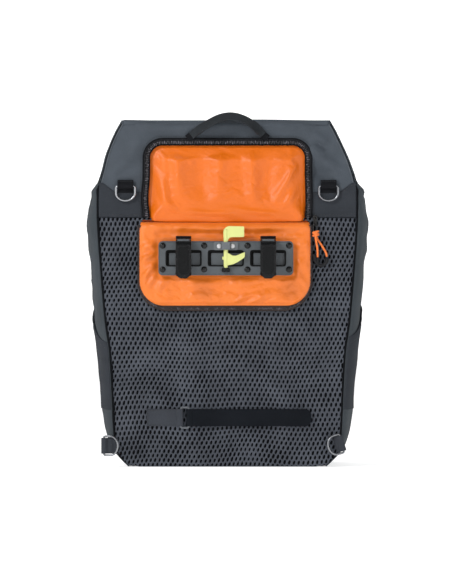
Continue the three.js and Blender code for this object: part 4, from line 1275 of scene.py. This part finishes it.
def button_screw(name, x, z, seat, head_r, material, slot, node, socket=1.05):
    """Domed head on a short shank, with a six-sided socket unless that is zero."""
    n = 36
    height = head_r * 0.52
    profile_points = [(1.5, 4.0), (1.5, 0.0), (head_r * 0.97, 0.0), (head_r, -0.35)]
    angles = [18, 36, 52, 64, 72] if socket else [12, 24, 36, 48, 60, 70, 80, 87]
    for a in np.radians(angles):
        profile_points.append((head_r * math.cos(a), -0.35 - (height - 0.35) * math.sin(a)))
    verts, faces = [], []
    for r, y in profile_points:
        verts += [(x + r * math.cos(a), seat + y, z + r * math.sin(a)) for a in np.arange(n) * TAU / n]
    for y, share in ((-height + 0.05, 1.0), (-height + 1.1, 0.94)) if socket else ():
        for a in np.arange(n) * TAU / n:
            r = socket * math.cos(math.pi / 6) / math.cos((a % (math.pi / 3)) - math.pi / 6) * share
            verts.append((x + r * math.cos(a), seat + y, z + r * math.sin(a)))
    rows = len(verts) // n
    for i in range(rows - 1):
        faces += band(i * n, (i + 1) * n, n)
    faces += [list(range(n))[::-1], [(rows - 1) * n + k for k in range(n)]]
    obj = piece(name, verts, faces, "hook_panel", slot, material, [node])
    m = obj.modifiers.new("crisp", "EDGE_SPLIT")
    m.split_angle = math.radians(45)


def screws():
    number = 1
    for dz in SCREW_ROWS:
        for s in (-1, 1):
            for dx in SCREW_COLUMNS:
                button_screw(f"button_screw_{number}", PLATE_X + s * dx, PLATE_Z + dz, PLATE_FRONT - 0.2,
                             3.65, BLACK_METAL, "black_screw", f"plate_screw_{number}")
                number += 1
    for k, s in enumerate((-1, 1)):
        button_screw(f"bright_screw_{k + 1}", PLATE_X + s * BRACKET_HALF, BRACKET_Z, PLATE_FRONT - 2.2, 2.8,
                     DOME, "steel", f"latch_screw_{k + 1}", 0)


HOOK_BACK, HOOK_WALL, LIP_WALL = PLATE_FRONT - 0.4, 4, 4.6
LIP_Y = HOOK_BACK - HOOK_WALL - THROAT - LIP_WALL


def hook_outline():
    """Side view of a hook as (y, z): tab, bridge, long outer lip, and the round throat inside."""
    back, inner = HOOK_BACK, HOOK_BACK - HOOK_WALL
    lip_in, lip_out = inner - THROAT, LIP_Y
    down, up = np.linspace(262, 229.8, 16), np.linspace(229.8, 255, 12)
    return np.vstack([[[back, 236.2], [back, 277]], [[inner - 0.8, 277], [inner - 2.2, 273.6]],
                      arc(lip_out + 8, 264.8, 8, 90, 180, 10), np.stack([np.full(16, lip_out), down], 1),
                      arc(lip_out + 2.3, 228.3, 2.3, 180, 360, 10), np.stack([np.full(12, lip_in), up], 1),
                      arc(lip_in + THROAT / 2, 257, THROAT / 2, 180, 0, 16), [[inner, 236.2]]])


def hooks():
    for label, side in SIDES:
        x = PLATE_X + side * HOOK_X
        body = f"{label}_hook"
        clip = outline_solid(f"{label}_hook_clip", hook_outline(), x - HOOK_W / 2, x + HOOK_W / 2, body,
                             "hook_plastic", BLACK_PLASTIC, 1.1, [f"{label}_hook"], plane="yz", segments=4)
        for v in clip.data.vertices:
            drop = (235.5 - v.co.z * 1000) / 9.6
            if drop > 0 and v.co.y < -0.11:
                v.co.x = x * 0.001 + (v.co.x - x * 0.001) * (0.3 + 0.7 * math.sqrt(max(0, 1 - drop * drop)))
        grip = np.vstack([arc(x, 237.2, 6.6, 180, 360, 18), [[x + 6.6, 262.5], [x + 5.4, 263.7]],
                          [[x - 5.4, 263.7], [x - 6.6, 262.5]]])
        outline_solid(f"{label}_hook_grip", grip, LIP_Y - 0.6, LIP_Y + 1.0, body, "hook_plastic", HOOK_GRIP,
                      0.45)
        outline_solid(f"{label}_hook_tongue", centred_rect(x, PLATE_Z, 14, 18, 1),
                      PLATE_FRONT - 1.5, PLATE_FRONT + 3.7, body, "hook_plastic", BLACK_PLASTIC, 0.4)
        # A grey plastic strip across the top of each black hook's bridge: painted highlight.
        outline_solid(f"{label}_hook_bridge_highlight", round_rect(x - 7.2, 270.6, x + 7.2, 272.9, 0.8),
                      LIP_Y + 2.6, LIP_Y + 5.5, body, "hook_plastic", GREY_PLASTIC, 0.6)


def latch():
    soften(use("latch_bracket", BRACKET), 0.45, 3)
    stem = upright(PLATE_X, STEM_Y, 239, 285, 24)
    s = np.linspace(0, 1, 24)
    tube("latch_stem", stem, STEM_R, *LEVER, 24,
         scale=0.75 + 0.25 * smoothstep(s, 0, 0.06), replaces=["latch_lever"])
    x = PLATE_X
    flag = np.vstack([[[x - 2.6, 271]], arc(x + 4.8, 281, 7.8, 180, 90, 10), [[19.2, 288.4]],
                      [[20, 287.6]], [[20, 276.4]], [[19.2, 275.6]], arc(x + 7, 271, 4.4, 90, 180, 6)])
    fin = [[x + 1, 257.5], [x + 3.5, 256.2], [x + 8, 253.6], [x + 12, 253.4], [20.4, 257.6], [21, 256.8],
           [20.7, 252.4], [19.8, 250.8], [x + 14, 245.6], [x + 9, 243.2], [x + 1, 241.5]]
    for name, shape in (("latch_flag", flag), ("latch_fin", fin)):
        outline_solid(name, shape, STEM_Y - 1.8, STEM_Y + 1.8, *LEVER, 0.7, segments=4)
    outline_solid("latch_pip", round_rect(x - 4.2, 248.6, x - 1, 252.4, 0.8), STEM_Y - 1.2, STEM_Y + 1.2,
                  *LEVER, 0.4)
    cup = round_rect(x - 5, 233.6, x + 5, 238.6, 1.6)
    outline_solid("latch_foot_cup", cup, PLATE_FRONT - 6.6, PLATE_FRONT, "hook_panel", "grey_plastic",
                  BLACK_PLASTIC, 0.5)


plate()
screws()
hooks()
latch()


# ---- Rings, tabs, straps and handle ----
def d_ring(name, matrix, body, node, material):
    """D-ring in its own plane: bar on local X, bow towards local -Y."""
    half, r = RING_HALF, 2.2
    bow = arc(0, 0, half, 0, -180, 36) * [1, RING_BOW / half] - [0, RING_SIDE]
    line = np.vstack([arc(half - r, -r, r, 90, 0, 6), bow, arc(-half + r, -r, r, 180, 90, 6)])
    line = resample(line, count=88, closed=True)
    path = np.column_stack([line, np.zeros(len(line))])
    verts, faces = sweep(path, circle(RING_WIRE - 0.1, 14), (0, 0, 1), closed=True)
    piece(name, place(verts, matrix), faces, body, "steel", material, [node])


def place(points, matrix):
    """Points of a local frame in the bag's frame."""
    p = np.asarray(points, float)
    return p @ matrix[:3, :3].T + matrix[:3, 3]


def basis(x, y, z, origin):
    """Local frame from its three directions and its origin."""
    m = np.eye(4)
    m[:3, 0], m[:3, 1], m[:3, 2], m[:3, 3] = x, y, z, origin
    return m


def turned(matrix, axis, degrees):
    """matrix followed by a turn about an axis through its own origin."""
    r = np.array(Matrix.Rotation(math.radians(degrees), 3, Vector(axis)))
    m = matrix.copy()
    m[:3, :3] = r @ matrix[:3, :3]
    return m


TAB_THICK, TAB_LAYER, TAB_CLEAR = 1.05, 1.08, 1.15


def folded_path(wire, tail):
    """Webbing folded round a bar at the origin: in along the lower layer, round, and back on top."""
    r = wire + TAB_CLEAR
    low = np.array([[tail, -r], [tail * 0.5, -r], [0.2, -r]])
    back = arc(0, 0, r, -90, -270 - 40, 16)
    top = np.array([[r * 1.9, -r + 1.4], [tail * 0.6 + r, -r + 1.12], [tail - 0.3, -r + TAB_LAYER]])
    return catmull(resample(np.vstack([low, back, top]), 1.0), 3)


def ring_tab(name, matrix, width, wire, tail, node, material):
    """Webbing folded round a wire and sewn down with a box of stitches."""
    flat = folded_path(wire, tail)
    path = np.column_stack([flat, np.zeros(len(flat))])
    webbing(name, place(path, matrix), matrix[:3, 2], width, TAB_THICK, "bag", material, "webbing", [node])
    inset = width / 2 - 1.6
    low = min(3.8 + wire, tail - 3)
    box_line = np.array([[tail - 1.4, -inset], [low, -inset], [low, inset], [tail - 1.4, inset]])
    y = -(wire + TAB_CLEAR) + TAB_LAYER + 0.6
    rows = np.column_stack([box_line[:, 0], np.full(4, y), box_line[:, 1]])
    stitches(f"{name}_stitches", place(rows, matrix), "bag", THREAD_DARK, "webbing", tuple(matrix[:3, 1]),
             2.2, 1.6, closed=True)


# Side, place of the bar, lean in degrees and length of the tab.
LOWER_RINGS = [("left", -1, 148.4, -77.3, 25.6, 0, 11), ("right", 1, 137, -78.6, 28.7, -16, 8.4)]


def rings():
    for label, side in SIDES:
        y = -73.4 - 1.5 - (RING_WIRE + 1.8)
        origin = np.array([-122.4 if side < 0 else 121.2, y, 336.8])
        ring = basis((1, 0, 0), (0, 0, 1), (0, -1, 0), origin)
        # The upper left ring gets the brighter steel, the right one the darker copy: painted light and shade.
        steel = STEEL if side < 0 else STEEL_SHADED
        d_ring(f"{label}_upper_d_ring", ring, f"{label}_upper_ring", f"{label}_upper_ring", steel)
        tab = basis((0, 0, 1), (0, -1, 0), (1, 0, 0), origin)
        ring_tab(f"{label}_upper_tab", tab, 19, RING_WIRE, 7.6, f"{label}_upper_ring_tab", BLACK_WEB_AND_SHADE)
        webbing(f"{label}_upper_tab_leaf", upright(origin[0], -74.7, 336, 329, 10), (1, 0, 0), 18.6, 1.1,
                "bag", BLACK_WEB_AND_SHADE)

    for label, side, x, y, z, lean, tail in LOWER_RINGS:
        origin = np.array([side * x, y, z])
        tab = turned(basis((-side, 0, 0), (0, -1, 0), (0, 0, side), origin), (0, 1, 0), side * lean)
        ring_tab(f"{label}_lower_tab", tab, 19, RING_WIRE, tail, f"{label}_lower_ring_tab", WEB_GREY)
        ring = basis((0, 0, -side), (side, 0, 0), (0, -1, 0), origin)
        ring = turned(turned(ring, (0, 0, 1), side * 11.5), (0, 1, 0), side * lean)
        d_ring(f"{label}_lower_d_ring", ring, f"{label}_lower_ring", f"{label}_lower_ring", STEEL_SHADED)
    root = [[-139.5, -75.3, 25.6], [-136.5, -75.2, 25.6], [-134, -74.5, 25.6], [-131.3, -72.8, 25.6]]
    webbing("left_lower_tab_leaf", catmull(root, 6), (0, 0, 1), 18.6, 1.1, "bag", WEB_GREY)


def rounded_end(left):
    """Share of a band's width by the length left to its end: it narrows over the last 7 mm."""
    drop = ((7 - left) / 7.4) ** 2 * 0.9
    return np.where(left < 7, np.sqrt(np.clip(1 - drop, 0.05, 1)), 1)


def lower_strap():
    y = BACK_Y - 0.3 - (LOOP_WIRE + 1.8)
    line = resample(round_rect(LOOP_LEFT, -LOOP_HALF, LOOP_RIGHT, LOOP_HALF, 2), count=80, closed=True)
    path = np.column_stack([line[:, 0], np.full(len(line), y), line[:, 1] + STRAP_Z])
    # The loop is coloured mid grey: painted highlight on black plastic.
    tube("strap_loop_wire", path, LOOP_WIRE, "strap_ring", "black_plastic", LOOP_GREY_HIGHLIGHT, 14, True,
         replaces=["strap_ring"])
    anchor = basis((-1, 0, 0), (0, -1, 0), (0, 0, 1), np.array([LOOP_LEFT, y, STRAP_Z]))
    ring_tab("strap_anchor_web", anchor, STRAP_W, LOOP_WIRE, 41, "strap_anchor", WEB_GREY)
    r = LOOP_WIRE + 0.95
    wrap = arc(LOOP_RIGHT, y, r, 60, 270, 16)
    tail = [[LOOP_RIGHT + 4, 0.2], [LOOP_RIGHT + 10, 0.6], [20, 0.9], [60, 0.7], [100.4, 0.8]]
    tail = np.array(tail) + [0, y - r]
    flat = np.vstack([wrap, resample(catmull(tail, 8), 2)])
    path = np.column_stack([flat[:, 0], flat[:, 1], np.full(len(flat), STRAP_Z)])
    webbing("strap_end_web", path, (0, 0, 1), STRAP_W, 1.6, "strap_free_end", PILE, "hook_and_loop",
            ["strap_free_end"], rib=0.9, depth=0.04, taper=rounded_end)
    sewn = np.array([[x, BACK_Y - 1.3, STRAP_Z] for x in np.linspace(-39, 95, 140)])
    webbing("strap_sewn_web", sewn, (0, 0, 1), STRAP_W - 0.6, 1.6, "bag", PILE, "webbing",
            ["strap_sewn_layer"], depth=0.06)


HANDLE_LINE = [[-43.5, 397.5], [-37, 402.4], [-30, 407], [-18, 414.2], [-8, 418.6], [2, 420.4], [12, 419.2],
               [22, 415.4], [30, 410.4], [37, 404.8], [43, 398.4]]


def carry_handle():
    """Folded flat where it is sewn in, opening on edge towards the top of the arch."""
    line = resample(catmull(HANDLE_LINE, 12), count=200)
    open_up = smoothstep(np.sin(math.pi * np.linspace(0, 1, 200)), 0, 0.6)
    along = tangents(np.column_stack([line[:, 0], np.zeros(200), line[:, 1]]))
    path = np.stack([line[:, 0], -77.6 - 8.8 * open_up, line[:, 1]], 1)
    across = np.stack([-along[:, 2] * 0.45, 0.88 * open_up, along[:, 0] * 0.45], 1)
    width = np.linalg.norm(across, axis=1) * 20.6
    flat = unit(across)
    lengths = np.concatenate([[0], np.cumsum(np.linalg.norm(np.diff(path, axis=0), axis=1))])
    webbing("handle_web", path, flat, 1.0, 1.9, "carry_handle", WEB, "webbing", ["carry_handle"], rib=1.6,
            depth=0.09, step=0.6, spread=lambda at: np.interp(at, lengths, width))
    for label, side in SIDES:
        z = np.linspace(393.8, 398.6, 8)
        foot = np.stack([side * (43.2 + 1.33 * (397.5 - z)), z], 1)
        # The feet are the handle's webbing in near black: painted shade where they go in under the zip.
        webbing(f"handle_foot_{label}", xz(foot, -76.9), (0.6, 0, side * 0.8), 9.3, 1.9, "bag", BLACK_WEB_AND_SHADE)


rings()
lower_strap()
carry_handle()


# ---- Zip slider and pull ----
def zip_slider():
    x, z = SLIDER_X, SLIDER_Z
    shape = np.array([[-1.6, -6.5], [1.6, -6.5], [2.2, -2], [2.8, 4.6], [1.6, 6.5], [-1.6, 6.5],
                      [-2.8, 4.6], [-2.2, -2]]) + [x, z]
    for name, y0, y1 in (("slider_top_plate", -78.6, -77.5), ("slider_back_plate", -76.5, -75.5)):
        outline_solid(name, shape, y0, y1, *SLIDER, 0.35, ["zip_slider"] if "top" in name else ())
    outline_solid("slider_post", round_rect(x - 1, z + 0.5, x + 1, z + 5.5, 0.6), -77.7, -76.3, *SLIDER, 0.2)
    bridge = [[x, y, z + dz] for y, dz in ((-78.2, 4), (-80.4, 3.4), (-81.2, 1), (-81.2, -3), (-80.4, -5),
                                           (-78.2, -5.6))]
    tube("slider_bridge", catmull(bridge, 6), 0.75, *SLIDER, 12)
    line = resample(round_rect(x - 2.4, 278.6, x + 2.4, 291.6, 2.1), count=64, closed=True)
    tube("pull_bail", xz(line, -82.9), 0.75, "zip_pull", "black_metal", BLACK_METAL, 12, True,
         replaces=["slider_pull"])


zip_slider()


# ---- Front, base and lid ----
FRONT_FOLDS = [(-128, 250, -88, 216, 8, 1.0), (-120, 118, -84, 150, 7, 0.9), (124, 236, 90, 196, 8, 1.1),
               (118, 112, 76, 140, 7, 0.8), (-50, 96, 40, 104, 6, 0.7), (-70, 224, -20, 232, 9, -0.8),
               (10, 70, 100, 60, 6, 0.7), (-110, 62, -40, 52, 6, 0.7), (20, 190, 70, 160, 9, -0.7)]


def front_panel():
    nu, nv = 70, 90
    u, v = unit_grid(nu, nv)
    z = 0.9 + (FRONT_HEIGHT - 0.9) * v
    x = (back_edge(z) - 0.6) * (2 * u - 1)
    belly = np.sin(math.pi * u) * np.sin(math.pi * v) ** 0.6
    slack = 0.9 * ripple(x, z, 110, 81) + 0.3 * ripple(x, z, 35, 82) + 1.5 * ridges(x, z, FRONT_FOLDS)
    y = FRONT_Y + 2.4 + 8 * belly + slack * np.minimum(belly * 2, 1)
    y = np.minimum(y, 78.4)
    p = np.stack([x, y, z], -1)
    cloth_sheet("front_fabric", p, 1.4, "coated_fabric", COATED, ["front_panel"])
    row = int(nv * 0.24)
    seam = p[:, row] + [0, 0.9, 0]
    # The low seam cord is in the lighter copy of the coated fabric: painted highlight.
    piping("front_low_seam", resample(seam, 3), 0.8, LIT_PIPING)
    stitches("front_low_stitches", p[2:-2, row - 2] + [0, 0.8, 0], "bag", THREAD, "coated_fabric", (0, 1, 0))
    use("front_closure_patch", PILE)
    use("lid_closure_patch", PILE)


def base_shell():
    nu, nv = 60, 40
    u, v = unit_grid(nu, nv, -1, -1)
    x = 116.6 * u * np.sqrt(1 - 0.05 * v ** 2 * np.abs(u))
    y = -0.5 + 71.5 * v * np.sqrt(1 - 0.03 * u ** 2 * np.abs(v))
    edge = np.maximum(np.abs(u), np.abs(v))
    z = 0.75 + 5 * smoothstep(edge, 0.94, 1.0) ** 1.5
    p = np.stack([x, y, z], -1)
    cloth_sheet("base_fabric", p, 1.4, "coated_fabric", COATED, ["base_panel"])


LID_HINGE_Y, LID_HINGE_Z, LID_TOP, LID_APRON = -70, 415.4, 152, 128


def lid_points(u, run):
    """The lid by share across and distance from its fold: over the top, then down the front."""
    slope = math.atan2(HEIGHT - FRONT_HEIGHT, FRONT_Y - BACK_Y)
    t = smoothstep(run, LID_TOP - 14, LID_TOP + 14)
    on_top = np.minimum(run, LID_TOP)
    down = np.maximum(run - LID_TOP, 0)
    bow = np.sin(math.pi * u)
    y = LID_HINGE_Y + 1.6 + on_top * math.cos(slope) + 6.6 * t + 3 * bow * t
    z = LID_HINGE_Z + 0.2 - on_top * math.sin(slope) - down + 3.2 * np.sin(math.pi * on_top / LID_TOP)
    cover = smoothstep(run, 6, 45) * (1 - t)
    half = np.minimum(153, silhouette(z - 3.8 * cover) - 1.8 + 1.5 * cover)
    x = half * (2 * u - 1) + sway(z)
    return x, y, z, t


def lid():
    nu, nv = 90, 110
    u, v = unit_grid(nu, nv)
    run = v * (LID_TOP + LID_APRON)
    x, y, z, t = lid_points(u, run)
    inside = smoothstep(run, 4, 30)
    side_drop = np.abs(2 * u - 1) ** 9 * 5.6 * smoothstep(run, 0, 30) * (1 - t)
    waves = (0.9 * ripple(x, run, 120, 91) + 0.35 * ripple(x, run, 40, 92)) * inside
    z = z - side_drop + waves * (1 - t) * 0.7
    y = y + np.abs(waves) * t * 0.6
    p = np.stack([x, y, z], -1)
    cloth_sheet("lid_fabric", p, 1.7, "coated_fabric", COATED, ["lid"], "lid")
    n = grid_normals(p)
    if n[nu // 2, nv // 4][2] < 0:
        n = -n
    hem, outward = (np.vstack([g[3, 6:-4], g[3:-3, -4], g[-4, -5:5:-1]]) for g in (p, n))
    stitches("lid_hem_stitches", hem + 0.9 * outward, "lid", THREAD, "coated_fabric", (0, 0.5, 0.86))
    rim = np.vstack([p[0, 2:], p[1:-1, -1], p[-1, -1:1:-1]])
    tube("lid_edge_binding", resample(rim, 2.5), 1.35, "lid", "coated_fabric", COATED, 8)


def lid_hinge():
    """Fabric that runs from the upper back panel over the crest on to the lid."""
    route = resample(catmull([[-72.4, 410.8], [-72.0, 413.6], [-70, 415.5], [-66.5, 415.6], [-60, 413.6]], 8),
                     count=15)
    x, across = np.meshgrid(np.linspace(-125, 121.4, 91), np.arange(15), indexing="ij")
    rise = 0.7 * crest_rise(x) * np.sin(math.pi * across / 14)
    p = np.stack([x, route[across, 0], route[across, 1] + rise], -1)
    obj = piece("lid_hinge_cloth", *shell(p, 0.9), None, "coated_fabric", COATED)
    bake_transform(obj)


front_panel()
base_shell()
lid()
lid_hinge()
